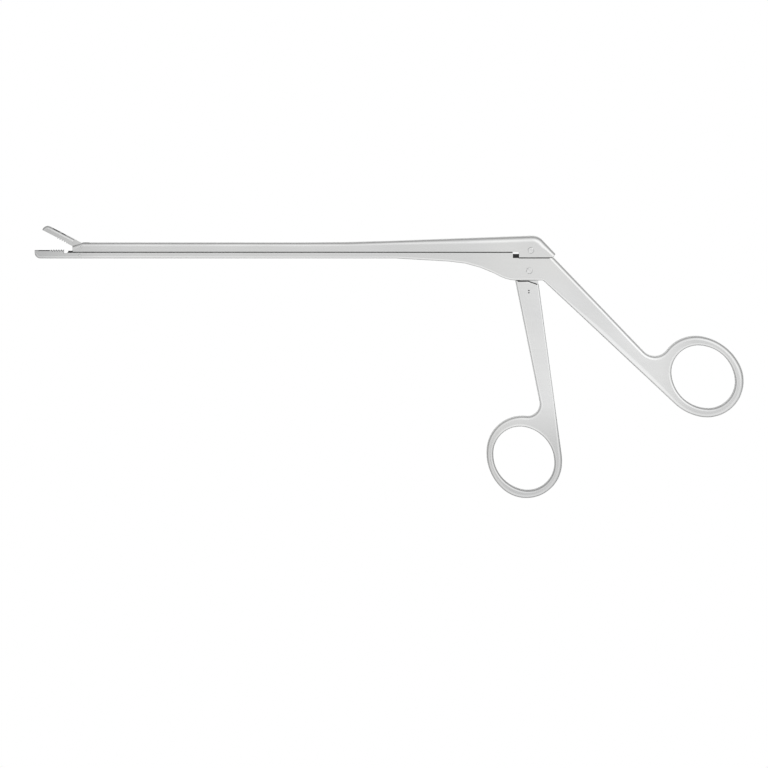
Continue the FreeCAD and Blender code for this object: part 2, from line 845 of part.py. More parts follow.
def cut_head_room(body):
    """Blind slot in the rear block for the head of the tang."""
    sketch = new_sketch(body, "head_room", "XZ_Plane")
    half = driving("tangThickness") / 2 + driving("sideClearance")
    reach = driving("tangHeadRadius") + driving("headSwingRoom")
    rectangle(sketch, drive_x - reach, -half, drive_x + reach, half)
    pocket(body, sketch, 2 * (drive_y + driving("tangHeadRadius") + driving("slotEndRoom")))


def cut_rib_groove(body, block):
    """Groove through the front wall of the rear block, in which the notch's rib runs."""
    sketch = new_sketch(body, "rib_groove")
    room = driving("railClearance")
    top = rear_parting + driving("notchRibHeight") + room
    rectangle(sketch, block - driving("notchGap"), as_size(0), drive_x, top)
    pocket(body, sketch, driving("railNeckWidth") + 2 * room)


def cut_guide_groove(body):
    """Groove along the sole for the shaft's guide rib, longer than it by the travel."""
    sketch = new_sketch(body, "guide_groove")
    room = driving("railClearance")
    rear = guide_rear + driving("slideTravel") + 2 * room
    rectangle(sketch, guide_front - room, bottom, rear, parting + driving("guideHeight") + room)
    pocket(body, sketch, driving("railNeckWidth") + 2 * room)


def cut_groove(body, name, rail_start):
    """T-groove round a rail: as long as the rail and the travel, then a window to drop it in."""
    room = driving("railClearance")
    start = rail_start - room
    length = driving("railLength") + driving("slideTravel") + 4 * room
    groove = new_sketch(body, f"{name}_groove", "YZ_Plane", start)
    rail_profile(groove, room)
    pocket(body, groove, length, symmetric=False, reverse=True)
    window = new_sketch(body, f"{name}_window", "XZ_Plane")
    head = driving("railHeadWidth") / 2 + room
    end = start + length
    rectangle(window, end - room, -head, end + driving("railLength") + 2 * room, head)
    top = parting + driving("railNeckHeight") + driving("railHeadHeight") + room
    pocket(body, window, 2 * top)


def upper_jaw():
    """Hinged jaw, drawn shut and turned open about its pivot."""
    body = new_body("upper_jaw")
    bite = rim + driving("biteGap")
    heel = heel_rear + driving("jawHeelGap")
    upper_crest = crest - driving("toothDepth") + driving("toothGap")
    side = new_sketch(body, "side_view")
    outline(side, [
        (tip, bite),
        (toothed, bite),
        (toothed, upper_crest),
        (heel - driving("jawHeelBevelX"), upper_crest),
        (heel, upper_crest + driving("jawHeelBevelY")),
        (heel, jaw_top),
        (tip, jaw_top, (jaw_top - bite) * driving("upperTipShare")),
    ])
    pad(body, side, width)
    round_edges(
        body, "back_rounding", driving("jawBackRound"),
        lambda edge: back_of_jaw(edge, upper_crest, bite))
    tongue = new_sketch(body, "tongue")
    hub = driving("tongueHubRadius")
    root_x = heel - driving("tongueRoot")
    throat_y = upper_crest + driving("tongueThroatRise")
    outline(tongue, [
        (root_x, jaw_top),
        (jaw_pivot_x + driving("tongueTopRun"), jaw_top, driving("tongueTopRound")),
        (jaw_pivot_x + hub, jaw_pivot_y),
        (jaw_pivot_x - hub, jaw_pivot_y),
        (heel + driving("tongueThroatRun"), throat_y, driving("tongueThroatRound")),
        (root_x, throat_y + driving("tongueThroatRise")),
    ])
    pad(body, tongue, driving("tongueThickness"))
    hub_sketch = new_sketch(body, "tongue_hub")
    circle(hub_sketch, jaw_pivot_x, jaw_pivot_y, hub)
    pad(body, hub_sketch, driving("tongueThickness"))
    running = driving("pinRunning")
    add_hole(body, "pivot_hole", jaw_pivot_x, jaw_pivot_y, driving("jawPivotPinRadius") + running)
    add_arc_slot(
        body, "drive_slot", jaw_slot_x, jaw_slot_y, driving("jawDrivePinRadius") + running,
        jaw_slot_way_x, jaw_slot_way_y)
    ceiling = upper_crest + driving("cupDepth")
    add_cup(body, bite - OPEN_AIR, ceiling - bite + OPEN_AIR, upward=True)
    window_front = tip + driving("windowFrontRun")
    window_rear = window_front + driving("windowLength")
    add_hollow(
        body, "window", jaw_top + OPEN_AIR, jaw_top - ceiling + 2 * OPEN_AIR, window_front, window_rear,
        driving("windowWidth") / 2, upward=False)
    add_teeth(body, toothed, upper_crest + driving("toothDepth"), upper_crest, LOWER_TEETH + 1)
    return body


def back_of_jaw(edge, upper_crest, bite):
    """Upper edges of the jaw along both sides and round its tip."""
    box = edge.BoundBox
    on_side = box.ZMin * box.ZMax > 0
    above = box.YMin > upper_crest.value + NEAR and box.YMax > bite.value + OPEN_AIR
    return on_side and above and box.XLength > OPEN_AIR


def front_handle():
    """Moving handle with its ring and the tang that drives the sliding shaft."""
    body = new_body("front_handle")
    inner, outer, bevel, neck, touch = front_bow
    side = new_sketch(body, "side_view")
    outline(side, [
        (driving("frontBarTopX"), facet),
        (neck["endX"], neck["endY"]),
        touch,
        (driving("facetEndX"), facet_end),
        (driving("facetKneeX"), facet),
    ])
    pad(body, side, thickness)
    add_ring(body, "front_ring", outer, inner, neck, driving("frontNeckRound"))
    bevel_edges(
        body, "handle_bevel", bevel,
        lambda edge: on_face_reaching_below(edge, facet_end.value - NEAR))
    tang = new_sketch(body, "tang")
    hub = driving("tangHubRadius")
    head = driving("tangHeadRadius")
    outline(tang, [
        (-hub, facet - driving("tangRoot")),
        (hub, facet - driving("tangRoot")),
        (hub, 0),
        (drive_x + head, drive_y),
        (drive_x - head, drive_y),
        (-hub, 0),
    ])
    pad(body, tang, driving("tangThickness"))
    head_sketch = new_sketch(body, "tang_head")
    circle(head_sketch, drive_x, drive_y, head)
    pad(body, head_sketch, driving("tangThickness"))
    running = driving("pinRunning")
    add_hole(body, "pivot_hole", 0, 0, driving("handlePinRadius") + running)
    add_arc_slot(
        body, "drive_slot", drive_x, drive_y, driving("slidePinRadius") + running, tang_way_x, tang_way_y)
    return body


def pin(label, x, y, radius, length):
    """Flush round pin with a fine chamfer at both ends."""
    body = new_body(label)
    sketch = new_sketch(body, "section")
    circle(sketch, x, y, radius)
    pad(body, sketch, length)
    bevel_edges(body, "ends", driving("pinChamfer"), lambda edge: lies_at_height(edge, length.value / 2))
    return body


def lift(body):
    """Raises a piece from the middle plane to the side that the instrument lies on."""
    body.Placement = FreeCAD.Placement(vector(0, 0, thickness / 2), FreeCAD.Rotation())
    body.setExpression("Placement.Base.z", (thickness / 2).text)


def open_jaw(body):
    """Turns the shut jaw open about its pivot."""
    turn = FreeCAD.Rotation(FreeCAD.Vector(0, 0, 1), -driving("jawOpening").value)
    pivot = vector(jaw_pivot_x, jaw_pivot_y)
    base = pivot - turn.multVec(pivot) + vector(0, 0, thickness / 2)
    body.Placement = FreeCAD.Placement(base, turn)
    across = cosine(driving("jawOpening"))
    rise = sine(driving("jawOpening"))
    shift_x = jaw_pivot_x - (jaw_pivot_x * across + jaw_pivot_y * rise)
    shift_y = jaw_pivot_y - (jaw_pivot_y * across - jaw_pivot_x * rise)
    body.setExpression("Placement.Base.x", shift_x.text)
    body.setExpression("Placement.Base.y", shift_y.text)
    body.setExpression("Placement.Base.z", (thickness / 2).text)
    body.setExpression("Placement.Rotation.Angle", (-driving("jawOpening")).text)


def check_document():
    for item in doc.Objects:
        if "Invalid" in item.State or "Error" in item.State:
            raise RuntimeError(f"{item.Name} failed: {item.State}")


def check_piece(piece):
    if piece.Shape.isNull() or not piece.Shape.isValid() or len(piece.Shape.Solids) != 1:
        raise RuntimeError(f"{piece.Label} is not one valid solid")


doc = FreeCAD.newDocument("bone_rongeur")
sheet = doc.addObject("Spreadsheet::Sheet", "Sizes")
fill_sheet(sheet)
places = doc.addObject("Spreadsheet::Sheet", "Places")
places_row = 0
doc.recompute()

thickness = driving("bodyThickness")
width = driving("shaftWidth")
parting = driving("partingHeight")
bottom = keep("shaftBottomY", parting - driving("shaftDepth"))
rear_parting = keep("rearPartingY", parting - driving("rearPartingDrop"))
rim = keep("rimY", parting + driving("rimRise"))
crest = keep("crestY", parting + driving("crestRise"))
jaw_top = keep("jawTopY", parting + driving("jawRise"))
slide_top = keep("slideTopY", parting + driving("slideRise"))
shoulder = keep("shoulderX", -driving("shoulderReach"))
belly_toe = keep("bellyToeX", shoulder - driving("bellyToeRun"))
belly_knee = keep("bellyKneeX", belly_toe - driving("bellySlopeRun"))
belly_start = keep("bellyStartX", belly_knee - driving("bellyRun"))
taper_rear = keep("taperRearX", shoulder - driving("taperRearRun"))
taper_front = keep("taperFrontX", taper_rear - driving("taperRun"))
tip = keep("tipX", -driving("jawReach"))
toothed = keep("toothedX", tip + driving("rimLength"))
heel_front = keep("heelFrontX", toothed + LOWER_TEETH * driving("toothPitch"))
heel_rear = keep("heelRearX", heel_front + driving("heelGap"))
nose = keep("noseX", heel_rear + driving("noseGap"))
tang_slot_front = keep("tangSlotFrontX", -(driving("tangHubRadius") + driving("slotEndRoom")))

drive_x = keep("drivePinX", driving("drivePinArm") * sine(driving("drivePinLean")))
drive_y = keep("drivePinY", driving("drivePinArm") * cosine(driving("drivePinLean")))
jaw_pivot_x = keep("jawPivotX", nose + driving("jawPivotInset"))
jaw_pivot_y = keep("jawPivotY", parting - driving("jawPivotDrop"))
jaw_crank = keep("jawCrank", driving("slideTravel") / 2 / sine(driving("jawOpening") / 2))
jaw_drive_x = keep("jawDriveX", jaw_pivot_x + driving("slideTravel") / 2)
jaw_drive_y = keep("jawDriveY", jaw_pivot_y + jaw_crank * cosine(driving("jawOpening") / 2))
jaw_slot_way_x = keep("jawSlotWayX", -sine(driving("jawOpening") / 2))
jaw_slot_way_y = keep("jawSlotWayY", cosine(driving("jawOpening") / 2))
jaw_slot_reach = jaw_crank - driving("arcSlack") / 2 + driving("pinRunning")
jaw_slot_x = keep("jawSlotX", jaw_pivot_x + jaw_slot_reach * jaw_slot_way_x)
jaw_slot_y = keep("jawSlotY", jaw_pivot_y + jaw_slot_reach * jaw_slot_way_y)
tang_way_x = keep("tangSlotWayX", sine(driving("drivePinLean")))
tang_way_y = keep("tangSlotWayY", cosine(driving("drivePinLean")))
guide_front = keep("guideFrontX", jaw_pivot_x + driving("guideFrontRun"))
guide_rear = keep("guideRearX", shoulder - driving("guideRearRun"))
rail_starts = {
    "front": keep("frontRailX", jaw_pivot_x + driving("frontRailRun")),
    "rear": keep("rearRailX", shoulder - driving("rearRailRun")),
}

facet = keep("facetY", -driving("bodyDepth") - driving("frontBarGap"))
facet_run = driving("facetEndX") - driving("facetKneeX")
facet_end = keep("facetEndY", facet - facet_run * tangent(driving("facetSlope")))
rear_bow = rear_layout()
front_bow = front_layout()
doc.recompute()

pieces = [lower_shaft(), sliding_shaft(), upper_jaw(), front_handle()]
pieces.append(pin("handle_pivot_pin", as_size(0), as_size(0), driving("handlePinRadius"), thickness))
pieces.append(pin("slide_drive_pin", drive_x, drive_y, driving("slidePinRadius"), thickness))
pieces.append(pin("jaw_pivot_pin", jaw_pivot_x, jaw_pivot_y, driving("jawPivotPinRadius"), width))
pieces.append(pin("jaw_drive_pin", jaw_drive_x, jaw_drive_y, driving("jawDrivePinRadius"), width))
for piece in pieces:
    if piece.Label == "upper_jaw":
        open_jaw(piece)
    else:
        lift(piece)
doc.recompute()
check_document()

os.makedirs("parts", exist_ok=True)
for piece in pieces:
    check_piece(piece)
    piece.Shape.exportStep(f"parts/{piece.Label}.step")
    box = piece.Shape.BoundBox
    print(piece.Label, f"{piece.Shape.Volume:.2f} mm3", [round(v, 2) for v in (
        box.XMin, box.XMax, box.YMin, box.YMax, box.ZMin, box.ZMax)])
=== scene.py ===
import math
import bmesh
import bpy
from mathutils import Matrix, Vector


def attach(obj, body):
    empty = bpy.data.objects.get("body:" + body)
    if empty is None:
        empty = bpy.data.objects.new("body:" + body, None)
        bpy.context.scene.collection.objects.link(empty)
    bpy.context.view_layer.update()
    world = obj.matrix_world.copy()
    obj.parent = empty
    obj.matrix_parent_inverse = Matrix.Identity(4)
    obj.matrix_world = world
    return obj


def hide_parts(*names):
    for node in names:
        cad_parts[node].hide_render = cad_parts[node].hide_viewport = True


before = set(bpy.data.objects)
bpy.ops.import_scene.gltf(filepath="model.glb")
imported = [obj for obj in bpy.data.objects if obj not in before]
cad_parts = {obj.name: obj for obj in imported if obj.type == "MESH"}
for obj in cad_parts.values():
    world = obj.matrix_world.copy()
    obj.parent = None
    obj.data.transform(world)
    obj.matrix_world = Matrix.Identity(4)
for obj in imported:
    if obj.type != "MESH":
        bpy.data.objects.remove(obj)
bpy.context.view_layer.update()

# Bone rongeur with ring handles, lying flat on its side. Sizes below are millimetres,
# X from the jaws to the rear handle, Y up the side view, Z through the thickness.

mm = 0.001
midPlane = 3.0  # middle of the instrument's thickness
near = 0.01  # places closer than this count as one
cutLow, cutHigh = -1.0, 7.0  # ends of a cutter that passes right through
cornerAngle, flatAngle = 0.9, 0.0005  # radians between the faces of a corner and of a flat


# Helpers for working on one object at a time

def leaveEditMode():
    if bpy.context.object and bpy.context.object.mode != "OBJECT":
        bpy.ops.object.mode_set(mode="OBJECT")


def pick(piece):
    leaveEditMode()
    bpy.ops.object.select_all(action="DESELECT")
    piece.select_set(True)
    bpy.context.view_layer.objects.active = piece


def startFresh():
    leaveEditMode()
    bpy.ops.object.select_all(action="DESELECT")


def metres(x, y, z=0.0):
    return Vector((x * mm, y * mm, z * mm))


def isCorner(edge):
    # An edge where two faces meet at an angle, not a line across a flat
    return edge.is_manifold and edge.calc_face_angle(0) > cornerAngle


def selectEdges(piece, chosen):
    mesh = bmesh.from_edit_mesh(piece.data)
    for part in (mesh.verts, mesh.edges, mesh.faces):
        for item in part:
            item.select = False
    found = 0
    for edge in mesh.edges:
        first, second = (vert.co / mm for vert in edge.verts)
        if isCorner(edge) and chosen(first, second):
            edge.select = True
            found += 1
    mesh.select_flush_mode()
    bmesh.update_edit_mesh(piece.data)
    return found


# Outlines, worked out as points in millimetres

def arcPoints(centre, radius, start, end, stepDegrees):
    steps = max(2, math.ceil(abs(end - start) / math.radians(stepDegrees)))
    angles = [start + (end - start) * i / steps for i in range(steps + 1)]
    return [(centre[0] + radius * math.cos(a), centre[1] + radius * math.sin(a)) for a in angles]


def nearTurn(start, end):
    # The end angle, by whole turns as near to start as it gets
    return start + (end - start + math.pi) % (2 * math.pi) - math.pi


def roundedOutline(corners, stepDegrees=9):
    # Corners are (x, y), (x, y, radius) or (x, y, run, "blend")
    points = []
    for i, corner in enumerate(corners):
        here = Vector(corner[:2])
        if len(corner) == 2:
            points.append(tuple(here))
            continue
        wayIn = (here - Vector(corners[i - 1][:2])).normalized()
        wayOut = (Vector(corners[(i + 1) % len(corners)][:2]) - here).normalized()
        turn = wayIn.angle(wayOut)
        run = corner[2] if len(corner) == 4 else corner[2] * math.tan(turn / 2)
        radius = run / math.tan(turn / 2)
        left = 1 if wayIn.cross(wayOut) > 0 else -1
        centre = here - wayIn * run + Vector((-wayIn.y, wayIn.x)) * radius * left
        start = math.atan2(-wayIn.x * left, wayIn.y * left)
        points += arcPoints(centre, radius, start, start + turn * left, stepDegrees)
    return points


def ovalArcs(ring):
    # The end and side arcs that make up a ring's oval
    extra = ring["long"] - ring["short"]
    share = ring["share"]
    return {
        "endRadius": ring["short"] - share * extra,
        "sideRadius": ring["long"] + extra / (2 * share),
        "endShift": (1 + share) * extra,
        "sideShift": (1 + 1 / (2 * share)) * extra,
        "joint": math.atan2(1 + 1 / (2 * share), 1 + share),
        "lean": math.radians(ring["lean"]),
    }


def ovalPlace(ring, along, across):
    lean = math.radians(ring["lean"])
    x = ring["x"] + along * math.cos(lean) - across * math.sin(lean)
    y = ring["y"] + along * math.sin(lean) + across * math.cos(lean)
    return x, y


def ovalPoint(ring, facing):
    # The point of the oval whose outward direction is the angle facing
    arcs = ovalArcs(ring)
    local = (facing - arcs["lean"] + math.pi) % (2 * math.pi) - math.pi
    onEnd = abs(local) < arcs["joint"] or abs(local) > math.pi - arcs["joint"]
    if onEnd:
        along, across = math.copysign(arcs["endShift"], math.cos(local)), 0.0
        radius = arcs["endRadius"]
    else:
        along, across = 0.0, -math.copysign(arcs["sideShift"], math.sin(local))
        radius = arcs["sideRadius"]
    return ovalPlace(ring, along + radius * math.cos(local), across + radius * math.sin(local))


def ovalRun(ring, start, end, stepDegrees=3.5):
    while end < start:
        end += 2 * math.pi
    steps = math.ceil((end - start) / math.radians(stepDegrees))
    return [ovalPoint(ring, start + (end - start) * i / steps) for i in range(steps + 1)]


def touchAngle(ring, corner, side):
    # Where a straight edge from a corner touches the ring's side arc
    arcs = ovalArcs(ring)
    centre = ovalPlace(ring, 0.0, arcs["sideShift"] * side)
    away = Vector(corner) - Vector(centre)
    swing = math.acos(arcs["sideRadius"] / away.length)
    return math.atan2(away.y, away.x) + swing * side


def neckArc(ring, barStart, entryFacing, radius, side):
    # Hollow arc between a bar's straight edge and the ring: its points from the bar, and the ring's angle
    arcs = ovalArcs(ring)
    hub = Vector(ovalPlace(ring, -arcs["endShift"], 0.0))
    entry = hub + Vector((math.cos(entryFacing), math.sin(entryFacing))) * arcs["endRadius"]
    way = (entry - Vector(barStart)).normalized()
    free = Vector((-way.y, way.x)) * side
    offset = Vector(barStart) + free * radius - hub
    reach = arcs["endRadius"] + radius
    along = offset.dot(way)
    step = -along - math.sqrt(along * along - offset.length_squared + reach * reach)
    centre = Vector(barStart) + way * step + free * radius
    start = math.atan2(-free.y, -free.x)
    toRing = hub - centre
    end = nearTurn(start, math.atan2(toRing.y, toRing.x))
    return arcPoints(centre, radius, start, end, 7), math.atan2(-toRing.y, -toRing.x)


# Ways of making a piece

def tracePlate(name, points, low, high):
    # Draws an outline point by point, fills it and pulls it up to its thickness
    startFresh()
    bpy.ops.mesh.primitive_plane_add(size=mm, location=(0, 0, 0))
    piece = bpy.context.object
    piece.name = name
    piece.data.name = name
    bpy.ops.object.mode_set(mode="EDIT")
    bpy.ops.mesh.select_mode(type="VERT")
    bpy.ops.mesh.select_all(action="SELECT")
    bpy.ops.mesh.merge(type="CENTER")
    bpy.ops.transform.translate(value=metres(*points[0], low))
    here = Vector(points[0])
    for point in points[1:]:
        step = Vector(point) - here
        bpy.ops.mesh.extrude_region_move(TRANSFORM_OT_translate={"value": metres(step.x, step.y)})
        here = Vector(point)
    bpy.ops.mesh.select_all(action="SELECT")
    bpy.ops.mesh.edge_face_add()
    bpy.ops.mesh.extrude_region_move(TRANSFORM_OT_translate={"value": metres(0, 0, high - low)})
    bpy.ops.mesh.select_all(action="SELECT")
    bpy.ops.mesh.normals_make_consistent(inside=False)
    leaveEditMode()
    return piece


def applyModifier(piece, modifier):
    pick(piece)
    bpy.ops.object.modifier_apply(modifier=modifier.name)


def joinIn(piece, other, operation, dark=False):
    # Boolean with another shape, which is used up; dark gives the new faces painted shade, the near-black
    # material standing in for shade in the recess
    if dark:
        addMaterials(other, paintedShade)
    modifier = piece.modifiers.new("shape", "BOOLEAN")
    modifier.operation = operation
    modifier.solver = "EXACT"
    modifier.material_mode = "TRANSFER"
    modifier.object = other
    applyModifier(piece, modifier)
    bpy.data.objects.remove(other)


def blockCutter(front, rear, bottom, top, half):
    corners = [(front, bottom), (rear, bottom), (rear, top), (front, top)]
    return tracePlate("cutter", corners, midPlane - half, midPlane + half)


def openingCutter(opening):
    return tracePlate("cutter", ovalRun(opening, 0, 2 * math.pi)[:-1], cutLow, cutHigh)


def roundCutter(x, y, radius, low=cutLow, high=cutHigh):
    startFresh()
    bpy.ops.mesh.primitive_cylinder_add(
        vertices=48, radius=radius * mm, depth=(high - low) * mm, location=metres(x, y, (low + high) / 2))
    cutter = bpy.context.object
    bpy.ops.object.transform_apply(location=True, rotation=False, scale=False)
    return cutter


def hollowCutter(front, rear, half, bottom, top):
    # Long hollow with round ends, standing up the side view's Y
    ends = half * 0.95
    outline = roundedOutline([
        (front, -half, ends), (rear, -half, ends), (rear, half, ends), (front, half, ends)], stepDegrees=12)
    cutter = tracePlate("cutter", outline, 0, top - bottom)
    bpy.ops.object.mode_set(mode="EDIT")
    bpy.ops.mesh.select_all(action="SELECT")
    bpy.ops.transform.rotate(value=math.pi / 2, orient_axis="X", center_override=(0, 0, 0))
    leaveEditMode()
    low = min(vert.co.y for vert in cutter.data.vertices) / mm
    pick(cutter)
    bpy.ops.object.mode_set(mode="EDIT")
    bpy.ops.mesh.select_all(action="SELECT")
    bpy.ops.transform.translate(value=metres(0, bottom - low, midPlane))
    bpy.ops.mesh.normals_make_consistent(inside=False)
    leaveEditMode()
    return cutter


def scaleHeight(piece, share):
    pick(piece)
    bpy.ops.object.mode_set(mode="EDIT")
    bpy.ops.mesh.select_all(action="SELECT")
    bpy.ops.transform.resize(value=(1, 1, share), center_override=metres(0, 0, midPlane))
    leaveEditMode()


def softenEdges(piece, widest, roundness, segments=5, flatness=2.0):
    # Rounds edges by the width in mm that roundness gives for an edge's two ends.
    # The rounding is flatness times as wide as it is deep.
    pick(piece)
    bpy.ops.object.mode_set(mode="EDIT")
    mesh = bmesh.from_edit_mesh(piece.data)
    layers = mesh.edges.layers.float
    layer = layers.get("bevel_weight_edge") or layers.new("bevel_weight_edge")
    for edge in mesh.edges:
        first, second = (vert.co / mm for vert in edge.verts)
        edge[layer] = min(1.0, roundness(first, second) / widest) if isCorner(edge) else 0.0
    bmesh.update_edit_mesh(piece.data)
    leaveEditMode()
    scaleHeight(piece, flatness)
    modifier = piece.modifiers.new("rounding", "BEVEL")
    modifier.limit_method = "WEIGHT"
    modifier.width = widest * mm
    modifier.segments = segments
    modifier.use_clamp_overlap = False
    modifier.miter_outer = "MITER_SHARP"
    applyModifier(piece, modifier)
    scaleHeight(piece, 1 / flatness)


def paintShadeEdges(piece, width, chosen):
    # Narrow bevel along a joint, rim or tooth edge, in the piece's second material: a line of painted shade
    # where the gap or edge falls dark
    pick(piece)
    bpy.ops.object.mode_set(mode="EDIT")
    bpy.ops.mesh.select_mode(type="EDGE")
    count = selectEdges(piece, chosen)
    bpy.ops.mesh.bevel(offset=width * mm, segments=1, affect="EDGES", clamp_overlap=False, material=1)
    leaveEditMode()
    print("joint edges on", piece.name, count)


def shadeFaces(piece, spans, lowest):
    # Paints shade onto the rounding's uppermost faces between pairs of X, in the dark second material
    pick(piece)
    bpy.ops.object.mode_set(mode="EDIT")
    bpy.ops.mesh.select_mode(type="FACE")
    mesh = bmesh.from_edit_mesh(piece.data)
    for face in mesh.faces:
        centre = face.calc_center_median() / mm
        inSpan = any(front < centre.x < rear for front, rear in spans)
        face.select = inSpan and centre.y > lowest and abs(face.normal.z) > 0.1
    mesh.select_flush_mode()
    bmesh.update_edit_mesh(piece.data)
    piece.active_material_index = 1
    bpy.ops.object.material_slot_assign()
    leaveEditMode()


def bisectAt(piece, places, facing=(1, 0, 0)):
    # Rings of new edges across the piece, so that its width or its rounding can change between them
    pick(piece)
    bpy.ops.object.mode_set(mode="EDIT")
    for place in places:
        bpy.ops.mesh.select_all(action="SELECT")
        bpy.ops.mesh.bisect(plane_co=metres(*place), plane_no=facing)
    leaveEditMode()


def halfWidth(x):
    # Half the instrument's thickness along its length, seen from above the back
    share = min(1.0, max(0.0, (x - shaft["taperFront"]) / (shaft["taperRear"] - shaft["taperFront"])))
    return shaft["frontWidth"] / 2 + share * (shaft["rearWidth"] - shaft["frontWidth"]) / 2


def taperShaft(piece):
    # Narrows the front to its own width, and each station of the taper to the width there
    bisectAt(piece, [(shaft["taperRear"], 0), (shaft["taperFront"], 0)])
    pick(piece)
    bpy.ops.object.mode_set(mode="EDIT")
    bpy.ops.mesh.select_mode(type="VERT")
    stations = sorted({round(vert.co.x / mm, 3) for vert in bmesh.from_edit_mesh(piece.data).verts})
    inTaper = [x for x in stations if shaft["taperFront"] < x < shaft["taperRear"]]
    for front, rear in [(-math.inf, shaft["taperFront"])] + [(x, x) for x in inTaper]:
        mesh = bmesh.from_edit_mesh(piece.data)
        for vert in mesh.verts:
            vert.select = front - near / 2 < vert.co.x / mm < rear + near / 2
        mesh.select_flush_mode()
        bmesh.update_edit_mesh(piece.data)
        share = halfWidth(rear) * 2 / shaft["rearWidth"]
        bpy.ops.transform.resize(value=(1, 1, share), center_override=metres(0, 0, midPlane))
    leaveEditMode()


def clearFlats(piece, place=None, facing=None):
    # Clears the lines across the two flats, all but the one that splits a ring's flats at place
    if place:
        bisectAt(piece, [place], facing)
    pick(piece)
    bpy.ops.object.mode_set(mode="EDIT")
    bpy.ops.mesh.select_mode(type="EDGE")
    mesh = bmesh.from_edit_mesh(piece.data)
    for edge in mesh.edges:
        first, second = (vert.co / mm for vert in edge.verts)
        level = abs(first.z - second.z) < near and edge.is_manifold and edge.calc_face_angle(1) < flatAngle
        away = math.inf
        if place:
            normal = Vector(facing).normalized()
            away = max(abs((point - Vector((*place, 0))).dot(normal)) for point in (first, second))
        edge.select = level and away > near
    mesh.select_flush_mode()
    bmesh.update_edit_mesh(piece.data)
    bpy.ops.mesh.dissolve_edges(use_verts=False)
    leaveEditMode()


def growing(places, place, low, high):
    # Steps evenly from low to high as place passes the places
    passed = sum(place > mark for mark in places)
    return low + (high - low) * passed / len(places)


def onSide(point):
    return abs(abs(point.z - midPlane) - halfWidth(point.x)) < 2 * near


def onOneFlat(first, second):
    return onSide(first) and onSide(second) and abs(first.z - second.z) <= 1.0


def alongHeight(height, front=-math.inf, rear=math.inf):
    # Chooses the flats' edges that run at one height between two X
    def chosen(first, second):
        level = abs(first.y - height) < near and abs(second.y - height) < near
        between = min(first.x, second.x) > front - near and max(first.x, second.x) < rear + near
        return level and between and onSide(first) and onSide(second)
    return chosen


def finishSurface(piece, angle=32):
    # Smooth shading that keeps the flats flat
    pick(piece)
    bpy.ops.object.mode_set(mode="EDIT")
    bpy.ops.mesh.select_all(action="SELECT")
    bpy.ops.mesh.remove_doubles(threshold=0.002 * mm)
    bpy.ops.mesh.normals_make_consistent(inside=False)
    leaveEditMode()
    bpy.ops.object.shade_smooth_by_angle(angle=math.radians(angle))
    modifier = piece.modifiers.new("flatNormals", "WEIGHTED_NORMAL")
    modifier.keep_sharp = True
    modifier.weight = 70
    applyModifier(piece, modifier)


# Sizes shared by the two halves of the shaft

shaft = {
    "frontWidth": 3.8, "rearWidth": 6.0, "taperFront": -72.0, "taperRear": -21.0,
    "bottom": 4.6, "parting": 6.9, "rearParting": 4.8, "shoulder": -6.2, "clearance": 0.06,
    "tip": -185.45, "rim": 7.69, "crest": 7.92,
    "toothed": -179.3, "pitch": 0.94, "toothDepth": 0.6, "toothPoints": 11,
    "heelFront": -174.6, "heelRear": -173.3, "nose": -171.3,
    "jawPivot": (-168.6, 5.75), "jawDrive": (-167.825, 8.92), "drivePin": (0.562, 7.649),
    "forkHalf": 0.86, "tangSlotHalf": 1.56,
}
# Widths in mm of the narrow painted-shade bevels along the partings, rims, teeth and the handle's top edge,
# and the places by the notch where those bands stop
shadeBands = {
    "bevel": 0.16, "rearBevel": 0.18, "rim": 0.3, "teeth": 0.12, "handle": 0.42,
    "notchFront": -6.3, "notchRear": -3.9,
}


# Materials

def feed(links, socket, value):
    # A number, colour or vector is set on the socket, and an output is linked to it
    if isinstance(value, (int, float, tuple, Vector)):
        socket.default_value = value
    else:
        links.new(value, socket)


def newGroup(name, inputs, outputs):
    group = bpy.data.node_groups.new(name, "ShaderNodeTree")
    for label, kind, value in inputs:
        socket = group.interface.new_socket(label, in_out="INPUT", socket_type=kind)
        if value is not None:
            socket.default_value = value
    for label, kind in outputs:
        group.interface.new_socket(label, in_out="OUTPUT", socket_type=kind)
    return group, group.nodes.new("NodeGroupInput"), group.nodes.new("NodeGroupOutput")


def mathNode(nodes, links, operation, first, second):
    node = nodes.new("ShaderNodeMath")
    node.operation = operation
    feed(links, node.inputs[0], first)
    feed(links, node.inputs[1], second)
    return node.outputs[0]


def vectorNode(nodes, links, operation, first, second):
    node = nodes.new("ShaderNodeVectorMath")
    node.operation = operation
    feed(links, node.inputs[0], first)
    feed(links, node.inputs[1], second)
    return node.outputs["Value" if operation == "DOT_PRODUCT" else "Vector"]


def noiseNode(nodes, links, vector, scale, detail, roughness=0.5):
    node = nodes.new("ShaderNodeTexNoise")
    node.inputs["Detail"].default_value = detail
    node.inputs["Roughness"].default_value = roughness
    links.new(vector, node.inputs["Vector"])
    feed(links, node.inputs["Scale"], scale)
    return node.outputs["Fac"]


def mixNode(nodes, links, amount, first, second):
    node = nodes.new("ShaderNodeMix")
    node.data_type = "RGBA"
    for index, value in ((0, amount), (6, first), (7, second)):
        feed(links, node.inputs[index], value)
    return node.outputs[2]


def rampNode(nodes, links, amount, stops):
    ramp = nodes.new("ShaderNodeValToRGB")
    while len(ramp.color_ramp.elements) < len(stops):
        ramp.color_ramp.elements.new(0.5)
    for element, (place, level) in zip(ramp.color_ramp.elements, stops):
        element.position = place
        element.color = (level, level, level, 1)
    links.new(amount, ramp.inputs[0])
    return ramp.outputs["Color"]


def rangeNode(nodes, links, value, limits, smooth=False):
    # The limits name the sockets that aren't left at 0 and 1
    node = nodes.new("ShaderNodeMapRange")
    if smooth:
        node.interpolation_type = "SMOOTHSTEP"
    for name, limit in limits.items():
        node.inputs[name].default_value = limit
    links.new(value, node.inputs["Value"])
    return node.outputs["Result"]


